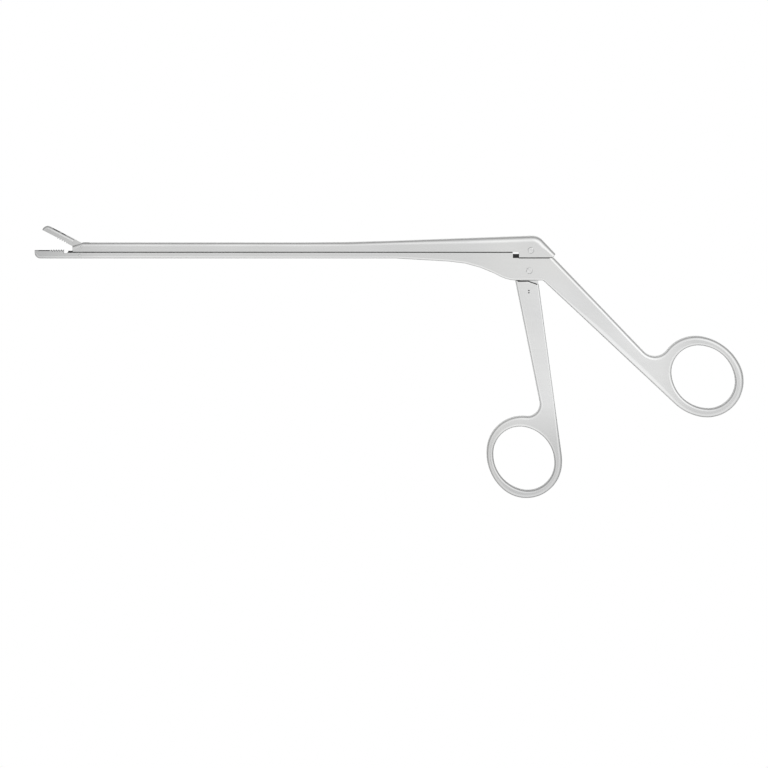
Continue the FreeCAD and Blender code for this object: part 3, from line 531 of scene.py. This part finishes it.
def groupNode(nodes, links, group, vector, values):
    node = nodes.new("ShaderNodeGroup")
    node.node_tree = group
    links.new(vector, node.inputs["Vector"])
    for name, value in values.items():
        node.inputs[name].default_value = value
    return node.outputs


# The colour is painted darker towards the jaws as painted shade, darker over the rear ring's far half and the
# rings' lowest parts, and lighter on the handles' bars.
# Each run goes from one place to the other in millimetres, with its tones at shares of that way.
toneRuns = {
    "X": {"from": -186.0, "to": 81.0, "stops": [
        (0.0, 0.70), (0.02, 0.74), (0.06, 0.84), (0.1, 0.92),
        (0.5, 0.94), (0.66, 1.0), (0.88, 1.0), (0.93, 0.85)]},
    "Y": {"from": -86.0, "to": 14.0, "stops": [
        (0.0, 0.82), (0.2, 0.87), (0.36, 1.1), (0.6, 1.1), (0.83, 1.0)]},
}
waveHeight, grainHeight = 0.9, 0.005  # of the slow wave and the fine grain, in millimetres
strokeStretch = (0.06, 1.0, 1.0)  # draws the strokes out along X


def satinGrain():
    # Fine blasted grain with faint long strokes; gives a height and an even shade mask
    group, entry, result = newGroup("satinGrain", [
        ("Vector", "NodeSocketVector", None), ("Grain Scale", "NodeSocketFloat", 5200.0),
        ("Stroke Scale", "NodeSocketFloat", 900.0), ("Stroke Share", "NodeSocketFloat", 0.35),
    ], [("Height", "NodeSocketFloat"), ("Shade", "NodeSocketFloat")])
    nodes, links, given = group.nodes, group.links, entry.outputs
    grain = noiseNode(nodes, links, given["Vector"], given["Grain Scale"], 3.0, 0.6)
    stretched = vectorNode(nodes, links, "MULTIPLY", given["Vector"], strokeStretch)
    stroke = noiseNode(nodes, links, stretched, given["Stroke Scale"], 2.0)
    strokePart = mathNode(nodes, links, "MULTIPLY", stroke, given["Stroke Share"])
    links.new(mathNode(nodes, links, "ADD", grain, strokePart), result.inputs["Height"])
    links.new(stroke, result.inputs["Shade"])
    return group


def toneDrift():
    # Slow drift between two tones over the piece, as on hand-finished steel
    group, entry, result = newGroup("toneDrift", [
        ("Vector", "NodeSocketVector", None), ("Scale", "NodeSocketFloat", 40.0),
        ("Tone A", "NodeSocketColor", (0.8, 0.8, 0.8, 1)), ("Tone B", "NodeSocketColor", (0.7, 0.7, 0.7, 1)),
        ("Spread", "NodeSocketFloat", 1.4),
    ], [("Color", "NodeSocketColor"), ("Mask", "NodeSocketFloat"), ("Wave", "NodeSocketFloat")])
    nodes, links, given = group.nodes, group.links, entry.outputs
    cloud = noiseNode(nodes, links, given["Vector"], given["Scale"], 2.0)
    centred = mathNode(nodes, links, "SUBTRACT", cloud, 0.5)
    spread = mathNode(nodes, links, "MULTIPLY", centred, given["Spread"])
    mask = nodes.new("ShaderNodeClamp")
    links.new(mathNode(nodes, links, "ADD", spread, 0.5), mask.inputs[0])
    color = mixNode(nodes, links, mask.outputs[0], given["Tone A"], given["Tone B"])
    links.new(color, result.inputs["Color"])
    links.new(mask.outputs[0], result.inputs["Mask"])
    links.new(noiseNode(nodes, links, given["Vector"], given["Scale"], 0.0), result.inputs["Wave"])
    return group


grainGroup = satinGrain()
driftGroup = toneDrift()


def steel(name, toneA, toneB, roughness, roughSpread, bump, grainScale=5200.0, strokes=0.35):
    material = bpy.data.materials.new(name)
    material.use_nodes = True
    nodes, links = material.node_tree.nodes, material.node_tree.links
    shader = nodes["Principled BSDF"]
    shader.inputs["Metallic"].default_value = 1.0
    place = nodes.new("ShaderNodeTexCoord").outputs["Object"]
    grain = groupNode(nodes, links, grainGroup, place, {"Grain Scale": grainScale, "Stroke Share": strokes})
    drift = groupNode(nodes, links, driftGroup, place, {"Tone A": (*toneA, 1), "Tone B": (*toneB, 1)})
    split = nodes.new("ShaderNodeSeparateXYZ")
    links.new(place, split.inputs[0])
    tone = drift["Color"]
    # The runs scale the colour along X and Y; along X they paint shade towards the jaws
    for axis, run in toneRuns.items():
        limits = {"From Min": run["from"] * mm, "From Max": run["to"] * mm}
        share = rangeNode(nodes, links, split.outputs[axis], limits)
        tone = vectorNode(nodes, links, "MULTIPLY", tone, rampNode(nodes, links, share, run["stops"]))
    links.new(tone, shader.inputs["Base Color"])
    roughLimits = {"To Min": roughness - roughSpread, "To Max": roughness + roughSpread}
    links.new(rangeNode(nodes, links, grain["Shade"], roughLimits), shader.inputs["Roughness"])
    wave = nodes.new("ShaderNodeBump")
    wave.inputs["Distance"].default_value = waveHeight * mm
    links.new(drift["Wave"], wave.inputs["Height"])
    relief = nodes.new("ShaderNodeBump")
    relief.inputs["Strength"].default_value = bump
    relief.inputs["Distance"].default_value = grainHeight * mm
    links.new(grain["Height"], relief.inputs["Height"])
    links.new(wave.outputs["Normal"], relief.inputs["Normal"])
    links.new(relief.outputs["Normal"], shader.inputs["Normal"])
    return material


satinSteel = steel(
    "satinSteel", (0.80, 0.80, 0.785), (0.775, 0.78, 0.785), roughness=0.22, roughSpread=0.04, bump=0.2)
brightSteel = steel(
    "brightSteel", (0.80, 0.80, 0.79), (0.77, 0.775, 0.78), roughness=0.22, roughSpread=0.04, bump=0.12,
    grainScale=7000.0, strokes=0.2)
# Near-black steel used as painted shade in gaps, slots, holes, rims and tooth outlines, where real shade
# would fall
paintedShade = steel(
    "paintedShade", (0.09, 0.09, 0.09), (0.07, 0.07, 0.07), roughness=0.55, roughSpread=0.05, bump=0.1)


# The second slot holds the near-black steel of the painted shade
def addMaterials(piece, main):
    piece.data.materials.clear()
    piece.data.materials.append(main)
    piece.data.materials.append(paintedShade)


# Lower shaft with the rear handle and its ring

lowerShape = {
    "ring": {"x": 64.65, "y": -39.78, "long": 16.33, "short": 14.28, "lean": -37.1, "share": 0.33},
    "opening": {"x": 65.33, "y": -39.86, "long": 12.75, "short": 11.0, "lean": -43.0, "share": 0.57},
    "barTop": (9.3, 4.8), "crotch": (5.1, -3.6), "crotchRadius": 1.0, "entry": 173.0, "neck": 5.6,
    "bellyStart": -50.0, "bellyKnee": (-21.0, 2.93, 9.0), "bellyToe": (-8.0, -3.6, 2.8),
    "tipShare": 0.68, "heelTop": 6.5,
    # Widths of the rounded edges
    "widest": 2.5, "bow": 1.5, "belly": 0.9, "barBottom": 2.4, "openingEdge": 1.15, "shaftBottom": 1.1,
    # Where the widths change
    "openingReach": 13.2, "barFrom": 6.1, "barUpperFrom": 2.0, "jointFrom": 6.4, "bodyJointFrom": 4.0,
    "bottomSteps": [-150.0, -135.0, -120.0, -105.0, -90.0], "rimRun": (-183.9, -179.8),
    "ringSteps": [2.0, 5.0, 8.0, 12.0, 16.0], "crotchSteps": [36.0, 41.0, 46.0, 51.0, 56.0],
    # Blocks by front, rear, bottom, top and half thickness; the cup has its half width third
    "tangSlot": (-3.7, 4.43, -20.0, 20.0, shaft["tangSlotHalf"]),
    "fork": (-175.8, -166.4, 0.0, 12.0, shaft["forkHalf"]),
    "notchRib": (-6.4, -3.75, 4.6, 6.26, 0.55), "guideRib": (-163.6, -7.7, 6.7, 7.5, 0.55),
    "cup": (-184.6, -175.6, 1.25, 5.94, 9.0),
    "pivotHole": 1.12, "jawPivotHole": 0.52,
}
barTouch = ovalPoint(lowerShape["ring"], touchAngle(lowerShape["ring"], lowerShape["crotch"], 1))
barWay = (Vector(barTouch) - Vector(lowerShape["crotch"])).normalized()


def toothRow(low, high):
    # Zigzag of teeth in half pitches, high at both ends
    places = [shaft["toothed"] + i * shaft["pitch"] / 2 for i in range(shaft["toothPoints"])]
    return [(place, low if i % 2 else high) for i, place in enumerate(places)]


def lowerOutline():
    shape = lowerShape
    tipRound = (shaft["rim"] - shaft["bottom"]) * shape["tipShare"]
    start = [
        (shaft["tip"], shaft["rim"]), (shaft["tip"], shaft["bottom"], tipRound),
        (shape["bellyStart"], shaft["bottom"]), (*shape["bellyKnee"], "blend"), (*shape["bellyToe"], "blend"),
        (*shape["crotch"], shape["crotchRadius"]),
    ]
    touch = touchAngle(shape["ring"], shape["crotch"], 1)
    neck, facing = neckArc(shape["ring"], shape["barTop"], math.radians(shape["entry"]), shape["neck"], 1)
    ring = ovalRun(shape["ring"], touch, facing)
    end = [
        shape["barTop"], (shaft["shoulder"], shaft["rearParting"]), (shaft["shoulder"], shaft["parting"]),
        (shaft["heelRear"], shaft["parting"]), (shaft["heelRear"], shape["heelTop"]),
        (shaft["heelFront"], shape["heelTop"]),
    ]
    teeth = toothRow(shaft["crest"] - shaft["toothDepth"], shaft["crest"])
    rimEnd = [(shaft["toothed"], shaft["rim"])]
    closing = roundedOutline(start + [ring[0]])[:-1]
    return closing + ring + neck[::-1][1:] + end + teeth[::-1] + rimEnd


def lowerRoundness(first, second):
    shape = lowerShape
    if not onOneFlat(first, second):
        return 0.0
    x, y = (first.x + second.x) / 2, (first.y + second.y) / 2
    if math.hypot(x - shape["opening"]["x"], y - shape["opening"]["y"]) < shape["openingReach"]:
        return shape["openingEdge"]
    if x > shape["barFrom"]:
        # How far before the ring the place is, and how far above the bar's lower edge
        before = (barTouch[0] - x) * barWay[0] + (barTouch[1] - y) * barWay[1]
        above = (y - shape["crotch"][1]) * barWay[0] - (x - shape["crotch"][0]) * barWay[1]
        if before < 0 or above > shape["barUpperFrom"]:
            return shape["bow"] if y < shaft["rearParting"] - near else 0.0
        if before < shape["crotchSteps"][0]:
            return growing(shape["ringSteps"], before, shape["bow"], shape["barBottom"])
        return growing(shape["crotchSteps"], before, shape["barBottom"], shape["belly"])
    if y > shape["jointFrom"] or (x > shaft["shoulder"] - 0.1 and y > shape["bodyJointFrom"]):
        return 0.0
    return growing(shape["bottomSteps"], x, shape["shaftBottom"], shape["belly"])


def onToothFlank(first, second):
    slant = shaft["toothDepth"] / 2
    slanting = abs(first.x - second.x) > slant and abs(first.y - second.y) > slant
    inRow = max(first.x, second.x) < shaft["heelFront"] + near
    aboveRoot = min(first.y, second.y) > shaft["crest"] - shaft["toothDepth"] - near
    return onSide(first) and onSide(second) and slanting and inRow and aboveRoot


def makeLowerShaft():
    shape = lowerShape
    piece = tracePlate("lowerShaft", lowerOutline(), 0, shaft["rearWidth"])
    addMaterials(piece, satinSteel)
    joinIn(piece, openingCutter(shape["opening"]), "DIFFERENCE")
    steps = [Vector(barTouch) - barWay * step for step in shape["ringSteps"] + shape["crotchSteps"]]
    bisectAt(piece, steps, (*barWay, 0))
    bisectAt(piece, [(x, 0) for x in (*shape["bottomSteps"], *shape["rimRun"])])
    clearFlats(piece, (shape["opening"]["x"], shape["opening"]["y"]), (*barWay, 0))
    taperShaft(piece)
    bisectAt(piece, [(shadeBands["notchRear"], 0)])
    softenEdges(piece, shape["widest"], lowerRoundness)
    # Painted shade: dark narrow bevels along the partings, the jaw's rim and the tooth flanks
    paintShadeEdges(piece, shadeBands["bevel"], alongHeight(shaft["parting"]))
    paintShadeEdges(piece, shadeBands["rearBevel"], alongHeight(shaft["rearParting"], front=shadeBands["notchRear"]))
    paintShadeEdges(piece, shadeBands["rim"], alongHeight(shaft["rim"], *shape["rimRun"]))
    paintShadeEdges(piece, shadeBands["teeth"], onToothFlank)
    joinIn(piece, blockCutter(*shape["tangSlot"]), "DIFFERENCE")
    # The fork slot's walls, the pivot hole's wall and the notch rib's faces get painted shade
    joinIn(piece, blockCutter(*shape["fork"]), "DIFFERENCE", dark=True)
    joinIn(piece, hollowCutter(*shape["cup"]), "DIFFERENCE")
    joinIn(piece, roundCutter(0, 0, shape["pivotHole"]), "DIFFERENCE", dark=True)
    joinIn(piece, roundCutter(*shaft["jawPivot"], shape["jawPivotHole"]), "DIFFERENCE")
    joinIn(piece, blockCutter(*shape["notchRib"]), "UNION", dark=True)
    joinIn(piece, blockCutter(*shape["guideRib"]), "UNION")
    finishSurface(piece)
    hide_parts("lower_shaft")
    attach(piece, "fixed_shaft")
    print("lower shaft", len(piece.data.polygons), "faces")


# Sliding shaft

slideFoot = shaft["parting"] + shaft["clearance"]
slideRearFoot = shaft["rearParting"] + shaft["clearance"]
slideShape = {
    "top": 10.54, "rearTop": (3.35, 13.15, 5.2), "tail": (9.8, 6.3), "footEnd": 8.9, "block": -3.87,
    "riseStart": -68.4, "riseRadius": 900.0, "rampEnd": -167.4, "rampRadius": 2.0, "noseTop": 9.2,
    # The slot's mouth is painted dark across the top rounding, as painted shade at the slot's edge
    "slotMouth": (-167.8, -164.9), "mouthShadeDepth": 0.16,
    # Widths of the rounded edges, and where they change
    "widest": 2.5, "front": 1.5, "rear": 2.4, "slope": 1.5, "noseEdge": 0.2, "tailEdge": 0.3,
    "topSteps": [-48.0, -44.0, -40.0, -36.0, -32.0, -28.0, -24.0], "slopeSteps": [6.0, 6.8, 7.6],
    # Blocks by front, rear, bottom, top and half thickness
    "lug": (-172.9, shaft["nose"] + 0.4, slideFoot, 7.42, 1.6),
    "fork": (-173.5, -164.9, 0.0, 14.0, shaft["forkHalf"]),
    "tangSlot": (-2.788, 3.912, 0.0, 10.3, shaft["tangSlotHalf"]),
    "notchGroove": (-6.2, 0.562, 0.0, 6.32, 0.61), "guideGroove": (-163.66, -6.03, 6.0, 7.56, 0.61),
    "driveHole": 1.13, "jawDriveHole": 0.47,
}


def slideOutline():
    shape = slideShape
    return roundedOutline([
        (shaft["nose"], slideFoot), (shape["block"], slideFoot), (shape["block"], slideRearFoot),
        (shape["footEnd"], slideRearFoot), shape["tail"], shape["rearTop"],
        (shape["riseStart"], shape["top"], shape["riseRadius"]),
        (shape["rampEnd"], shape["top"], shape["rampRadius"]), (shaft["nose"], shape["noseTop"])],
        stepDegrees=6)


def slideRoundness(first, second):
    shape = slideShape
    if not onOneFlat(first, second):
        return 0.0
    x, y = (first.x + second.x) / 2, (first.y + second.y) / 2
    if x < shaft["nose"] + near:
        return shape["noseEdge"]
    if y < slideFoot + near:
        return shape["tailEdge"] if x > shape["footEnd"] + near and y < shape["tail"][1] else 0.0
    if x < 0:
        return growing(shape["topSteps"], x, shape["front"], shape["rear"])
    return growing(shape["slopeSteps"], x, shape["rear"], shape["slope"])


def makeSlidingShaft():
    shape = slideShape
    piece = tracePlate("slidingShaft", slideOutline(), 0, shaft["rearWidth"])
    addMaterials(piece, satinSteel)
    bisectAt(piece, [(x, 0) for x in (*shape["topSteps"], *shape["slopeSteps"], shape["slotMouth"][1])])
    clearFlats(piece)
    taperShaft(piece)
    bisectAt(piece, [(shadeBands["notchFront"], 0)])
    softenEdges(piece, shape["widest"], slideRoundness, segments=7)
    # Painted shade: dark bevels along the partings, and the slot's mouth painted dark across the top
    paintShadeEdges(piece, shadeBands["bevel"], alongHeight(slideFoot, rear=shadeBands["notchFront"]))
    paintShadeEdges(piece, shadeBands["rearBevel"], alongHeight(slideRearFoot))
    shadeFaces(piece, [shape["slotMouth"]], shape["top"] - shape["mouthShadeDepth"])
    # The lug, the fork slot's walls and the drive hole's wall get painted shade
    joinIn(piece, blockCutter(*shape["lug"]), "UNION", dark=True)
    joinIn(piece, blockCutter(*shape["fork"]), "DIFFERENCE", dark=True)
    for name in ("tangSlot", "notchGroove", "guideGroove"):
        joinIn(piece, blockCutter(*shape[name]), "DIFFERENCE")
    joinIn(piece, roundCutter(*shaft["drivePin"], shape["driveHole"]), "DIFFERENCE", dark=True)
    joinIn(piece, roundCutter(*shaft["jawDrive"], shape["jawDriveHole"]), "DIFFERENCE")
    finishSurface(piece)
    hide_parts("sliding_shaft")
    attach(piece, "slide")
    print("sliding shaft", len(piece.data.polygons), "faces")


# Upper jaw

jawShape = {
    "bite": 7.78, "crest": 7.42, "top": 10.2, "tipShare": 0.82, "open": 27.5, "toothGap": 0.06,
    "heel": -173.15, "heelLip": (-174.205, 7.516), "heelRise": 0.8,
    "widest": 1.2, "back": 1.1, "backFrom": 8.1,
    # The window runs mark two dashes of the back's top rounding painted dark, as painted shade of the window
    "windowShadeRuns": [(-182.0, -179.2), (-178.45, -176.6)], "windowShadeDepth": 0.22,
    # Tongue: its root in the jaw by length, top and bottom, the throat before the eye, and the eye
    "tongueHalf": 0.8, "root": (2.0, 9.9, 7.62), "throat": (0.55, 7.52, 1.0),
    "eye": 1.05, "eyeSlant": 0.74, "eyeBack": (0.5, 1.2),
    # Hollows by front, rear, half width, bottom and top
    "cup": (-184.6, -175.6, 1.25, 6.5, 9.17), "window": (-182.5, -177.2, 1.1, 8.67, 11.2),
    "pivotHole": 0.54, "driveHole": 0.56,
}


def upperOutline():
    shape = jawShape
    teeth = toothRow(shape["crest"], shape["crest"] + shaft["toothDepth"])
    firstWall = shaft["toothed"] - shape["toothGap"]
    return roundedOutline([
        (shaft["tip"], shape["bite"]), (firstWall, shape["bite"]), (firstWall, teeth[0][1]), *teeth,
        shape["heelLip"], (shape["heel"], shape["crest"] + shape["heelRise"]), (shape["heel"], shape["top"]),
        (shaft["tip"], shape["top"], (shape["top"] - shape["bite"]) * shape["tipShare"])],
        stepDegrees=8)


def tongueOutline():
    shape = jawShape
    x, y = shaft["jawPivot"]
    heel, top, eye, slant = shape["heel"], shape["top"], shape["eye"], shape["eyeSlant"]
    rootLength, rootTop, rootBottom = shape["root"]
    throatX, throatY, throatRadius = shape["throat"]
    backX, backRadius = shape["eyeBack"]
    return roundedOutline([
        (heel - rootLength, rootTop), (heel - rootLength, rootBottom),
        (heel + throatX, throatY, throatRadius), (x - eye, y), (x - slant, y - slant), (x, y - eye),
        (x + slant, y - slant), (x + eye, y), (x + backX, top, backRadius), (heel, top)])


def jawRoundness(first, second):
    x, y = (first.x + second.x) / 2, (first.y + second.y) / 2
    onBack = x < jawShape["heel"] - near and y > jawShape["backFrom"]
    onTip = x < shaft["tip"] + near
    oneFlat = abs(first.z - second.z) < 0.5
    return jawShape["back"] if oneFlat and (onBack or onTip) else 0.0


def turnOpen(piece):
    # Turns the shut jaw open about its pivot, tip up
    pivot = metres(*shaft["jawPivot"], midPlane)
    pick(piece)
    bpy.ops.object.mode_set(mode="EDIT")
    bpy.ops.mesh.select_all(action="SELECT")
    bpy.ops.transform.rotate(value=math.radians(jawShape["open"]), orient_axis="Z", center_override=pivot)
    leaveEditMode()


def makeUpperJaw():
    shape = jawShape
    half, tongueHalf = shaft["frontWidth"] / 2, shape["tongueHalf"]
    piece = tracePlate("upperJaw", upperOutline(), midPlane - half, midPlane + half)
    addMaterials(piece, satinSteel)
    bisectAt(piece, [(x, 0) for run in shape["windowShadeRuns"] for x in run])
    softenEdges(piece, shape["widest"], jawRoundness)
    # Painted shade: two dark dashes on the back's top rounding, and dark walls in the window
    shadeFaces(piece, shape["windowShadeRuns"], shape["top"] - shape["windowShadeDepth"])
    tongue = tracePlate("tongue", tongueOutline(), midPlane - tongueHalf, midPlane + tongueHalf)
    addMaterials(tongue, satinSteel)
    joinIn(piece, tongue, "UNION")
    joinIn(piece, hollowCutter(*shape["cup"]), "DIFFERENCE")
    joinIn(piece, hollowCutter(*shape["window"]), "DIFFERENCE", dark=True)
    joinIn(piece, roundCutter(*shaft["jawPivot"], shape["pivotHole"]), "DIFFERENCE")
    turnOpen(piece)
    joinIn(piece, roundCutter(*shaft["jawDrive"], shape["driveHole"]), "DIFFERENCE")
    finishSurface(piece)
    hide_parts("upper_jaw")
    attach(piece, "jaw")
    print("upper jaw", len(piece.data.polygons), "faces")


# Front handle with its ring and tang

handleShape = {
    "ring": {"x": -1.80, "y": -69.96, "long": 15.53, "short": 13.90, "lean": -68.9, "share": 0.33},
    "opening": {"x": -1.96, "y": -70.47, "long": 12.5, "short": 10.92, "lean": -53.3, "share": 0.57},
    "topLeft": (-5.25, -3.72), "knee": (-0.4, -3.72), "topRight": (3.5, -5.06), "entry": 52.47, "neck": 4.6,
    # Widths of the rounded edges
    "widest": 1.5, "left": 0.9, "right": 0.6, "ringEdge": 1.4, "openingEdge": 1.1,
    # Where the widths change, and what parts the bar's left edge from its right
    "openingReach": 12.95, "topFrom": -5.1, "leftLean": 0.202, "leftReach": 1.5,
    "ringFrom": -53.0, "ringSplit": 5.5,
    "leftSteps": [40.0, 43.0, 46.0, 49.0], "rightSteps": [52.0, 55.0, 58.0, 61.0, 64.0, 67.0],
    "tangHalf": 3.4, "tangRoot": -6.72, "tangEye": 2.35, "tangThick": 1.5,
    "pivotHole": 1.12, "driveHole": 1.18,
    "dot": {"x": -0.2, "y": -7.8, "radius": 0.55, "depth": 0.7, "pitch": 0.85},
}


def frontOutline():
    shape = handleShape
    neck, facing = neckArc(shape["ring"], shape["topLeft"], math.radians(shape["entry"]), shape["neck"], -1)
    ring = ovalRun(shape["ring"], facing, touchAngle(shape["ring"], shape["topRight"], -1))
    return [shape["topLeft"]] + neck + ring[1:] + [shape["topRight"], shape["knee"]]


def frontRoundness(first, second):
    shape = handleShape
    x, y = (first.x + second.x) / 2, (first.y + second.y) / 2
    if not onOneFlat(first, second) or y > shape["topFrom"]:
        return 0.0
    if math.hypot(x - shape["opening"]["x"], y - shape["opening"]["y"]) < shape["openingReach"]:
        return shape["openingEdge"]
    leftX, topY = shape["topLeft"]
    onLeft = x < leftX + (topY - y) * shape["leftLean"] + shape["leftReach"]
    if y < shape["ringFrom"]:
        onLeft = x < shape["ringSplit"]
    name = "left" if onLeft else "right"
    return growing(shape[name + "Steps"], -y, shape[name], shape["ringEdge"])


def onTopEdge(first, second):
    level = abs(first.z - second.z) < near and min(first.y, second.y) > handleShape["topFrom"]
    return level and onSide(first) and abs(first.x - second.x) > 1


def punchDot(piece, y):
    dot = handleShape["dot"]
    startFresh()
    bpy.ops.mesh.primitive_cone_add(
        vertices=16, radius1=0, radius2=dot["radius"] * mm, depth=dot["depth"] * mm,
        location=metres(dot["x"], y, shaft["rearWidth"]))
    cutter = bpy.context.object
    bpy.ops.object.transform_apply(location=True, rotation=False, scale=False)
    # The dots' walls get painted shade
    joinIn(piece, cutter, "DIFFERENCE", dark=True)


def makeFrontHandle():
    shape = handleShape
    piece = tracePlate("frontHandle", frontOutline(), 0, shaft["rearWidth"])
    addMaterials(piece, satinSteel)
    joinIn(piece, openingCutter(shape["opening"]), "DIFFERENCE")
    bisectAt(piece, [(0, -y) for y in shape["leftSteps"] + shape["rightSteps"]], (0, 1, 0))
    clearFlats(piece, (shape["opening"]["x"], shape["opening"]["y"]), (0, 1, 0))
    softenEdges(piece, shape["widest"], frontRoundness)
    # Painted shade: a dark bevel along the handle's top edge, for the shaded gap under the body
    paintShadeEdges(piece, shadeBands["handle"], onTopEdge)
    x, y = shaft["drivePin"]
    half, root, eye = shape["tangHalf"], shape["tangRoot"], shape["tangEye"]
    low, high = midPlane - shape["tangThick"], midPlane + shape["tangThick"]
    outline = [(-half, root), (half, root), (half, 0), (x + eye, y), (x - eye, y), (-half, 0)]
    tang = tracePlate("tang", outline, low, high)
    addMaterials(tang, satinSteel)
    joinIn(piece, tang, "UNION")
    joinIn(piece, roundCutter(x, y, eye, low, high), "UNION")
    joinIn(piece, roundCutter(0, 0, shape["pivotHole"]), "DIFFERENCE")
    joinIn(piece, roundCutter(x, y, shape["driveHole"]), "DIFFERENCE")
    for step in (-0.5, 0.5):
        punchDot(piece, shape["dot"]["y"] + step * shape["dot"]["pitch"])
    finishSurface(piece)
    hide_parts("front_handle")
    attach(piece, "handle")
    print("front handle", len(piece.data.polygons), "faces")


# Pins, flush on both sides, with a fine chamfer and a shallow dish in each end

pins = {
    "handlePivotPin": ("handle_pivot_pin", (0.0, 0.0), 1.05, shaft["rearWidth"], "fixed_shaft"),
    "slideDrivePin": ("slide_drive_pin", shaft["drivePin"], 1.05, shaft["rearWidth"], "slide"),
    "jawPivotPin": ("jaw_pivot_pin", shaft["jawPivot"], 0.5, shaft["frontWidth"], "fixed_shaft"),
    "jawDrivePin": ("jaw_drive_pin", shaft["jawDrive"], 0.45, shaft["frontWidth"], "slide"),
}
pinEnd = {"chamfer": 0.09, "insetShare": 0.3, "dish": 0.03}


def makePin(name, node, place, radius, length, body):
    startFresh()
    bpy.ops.mesh.primitive_cylinder_add(
        vertices=40, radius=radius * mm, depth=length * mm, location=metres(*place, midPlane))
    piece = bpy.context.object
    piece.name = name
    piece.data.name = name
    bpy.ops.object.transform_apply(location=True, rotation=False, scale=False)
    bpy.ops.object.mode_set(mode="EDIT")
    bpy.ops.mesh.select_mode(type="EDGE")
    selectEdges(piece, lambda a, b: abs(a.z - b.z) < 0.001)
    bpy.ops.mesh.bevel(offset=pinEnd["chamfer"] * mm, segments=2, affect="EDGES", clamp_overlap=False)
    bpy.ops.mesh.select_mode(type="FACE")
    inset = radius * pinEnd["insetShare"] * mm
    for end in (1, -1):
        mesh = bmesh.from_edit_mesh(piece.data)
        for face in mesh.faces:
            face.select = face.normal.z * end > 0.99
        mesh.select_flush_mode()
        bmesh.update_edit_mesh(piece.data)
        bpy.ops.mesh.inset(thickness=inset, depth=0)
        bpy.ops.mesh.inset(thickness=inset, depth=-pinEnd["dish"] * mm)
    leaveEditMode()
    piece.data.materials.append(brightSteel)
    finishSurface(piece)
    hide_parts(node)
    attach(piece, body)


makeLowerShaft()
makeSlidingShaft()
makeUpperJaw()
makeFrontHandle()
for pinName, pinValues in pins.items():
    makePin(pinName, *pinValues)
print("pins", len(pins))


# Floor, light and camera

studio = {
    "floorSize": 60.0, "floorGap": 0.2, "floorTone": (0.8, 0.8, 0.8), "floorLift": 0.2,
    "cameraLens": 300.0, "tilt": 2.5, "centre": (-54.49, -42.45), "frame": 288.0,
    # Sky levels by the height of the direction: 1 is straight up, 0 the horizon
    "darkSide": [
        (0.0, 0.34), (0.3, 0.38), (0.6, 0.50), (0.8, 0.76), (0.9, 0.96), (0.955, 0.98), (0.992, 0.78)],
    "brightSide": [
        (0.0, 0.22), (0.28, 0.36), (0.46, 0.76), (0.62, 1.02), (0.85, 1.1), (0.95, 1.0), (0.992, 0.78)],
    # Where along Y the sky turns from its dark side to its bright one
    "sides": {"From Min": 0.1, "From Max": -0.75},
    "stripToward": (0.24, 0.25, 0.94), "strip": {"From Min": 0.93, "From Max": 0.992, "To Max": 0.3},
}


def makeFloor():
    startFresh()
    bpy.ops.mesh.primitive_plane_add(size=studio["floorSize"], location=metres(0, 0, -studio["floorGap"]))
    floor = bpy.context.object
    floor.name = "floor"
    material = bpy.data.materials.new("paleFloor")
    material.use_nodes = True
    nodes, links = material.node_tree.nodes, material.node_tree.links
    nodes.clear()
    ray = nodes.new("ShaderNodeLightPath").outputs
    mirrored = mathNode(nodes, links, "MAXIMUM", ray["Is Glossy Ray"], ray["Is Transmission Ray"])
    matte = nodes.new("ShaderNodeBsdfDiffuse")
    matte.inputs["Color"].default_value = (*studio["floorTone"], 1)
    glow = nodes.new("ShaderNodeEmission")  # brings the mirrored floor up to white, contact shade kept
    links.new(mathNode(nodes, links, "MULTIPLY", mirrored, studio["floorLift"]), glow.inputs["Strength"])
    lit = nodes.new("ShaderNodeAddShader")
    white = nodes.new("ShaderNodeEmission")
    mix = nodes.new("ShaderNodeMixShader")
    output = nodes.new("ShaderNodeOutputMaterial")
    links.new(matte.outputs[0], lit.inputs[0])
    links.new(glow.outputs[0], lit.inputs[1])
    links.new(ray["Is Camera Ray"], mix.inputs[0])
    links.new(lit.outputs[0], mix.inputs[1])
    links.new(white.outputs[0], mix.inputs[2])
    links.new(mix.outputs[0], output.inputs["Surface"])
    floor.data.materials.append(material)


def makeWorld():
    world = bpy.context.scene.world or bpy.data.worlds.new("studio")
    bpy.context.scene.world = world
    world.use_nodes = True
    nodes, links = world.node_tree.nodes, world.node_tree.links
    nodes.clear()
    direction = nodes.new("ShaderNodeTexCoord").outputs["Generated"]
    split = nodes.new("ShaderNodeSeparateXYZ")
    links.new(direction, split.inputs[0])
    dark = rampNode(nodes, links, split.outputs["Z"], studio["darkSide"])
    bright = rampNode(nodes, links, split.outputs["Z"], studio["brightSide"])
    sideways = rangeNode(nodes, links, split.outputs["Y"], studio["sides"], smooth=True)
    sky = mixNode(nodes, links, sideways, dark, bright)
    toward = vectorNode(nodes, links, "DOT_PRODUCT", direction, Vector(studio["stripToward"]).normalized())
    glow = rangeNode(nodes, links, toward, studio["strip"], smooth=True)
    background = nodes.new("ShaderNodeBackground")
    output = nodes.new("ShaderNodeOutputWorld")
    links.new(vectorNode(nodes, links, "ADD", sky, glow), background.inputs["Color"])
    links.new(background.outputs[0], output.inputs["Surface"])


def makeCamera():
    data = bpy.data.cameras.new("camera")
    camera = bpy.data.objects.new("camera", data)
    bpy.context.scene.collection.objects.link(camera)
    data.lens = studio["cameraLens"]
    data.sensor_width = 36.0
    data.clip_end = 100
    distance = studio["frame"] * data.lens / data.sensor_width
    tilt = math.radians(studio["tilt"])
    x, y = studio["centre"]
    height = shaft["rearWidth"] + distance * math.cos(tilt)
    camera.location = metres(x, y + distance * math.sin(tilt), height)
    camera.rotation_euler = (-tilt, 0, 0)
    bpy.context.scene.camera = camera


makeFloor()
makeWorld()
makeCamera()
bpy.context.scene.view_settings.view_transform = "Standard"
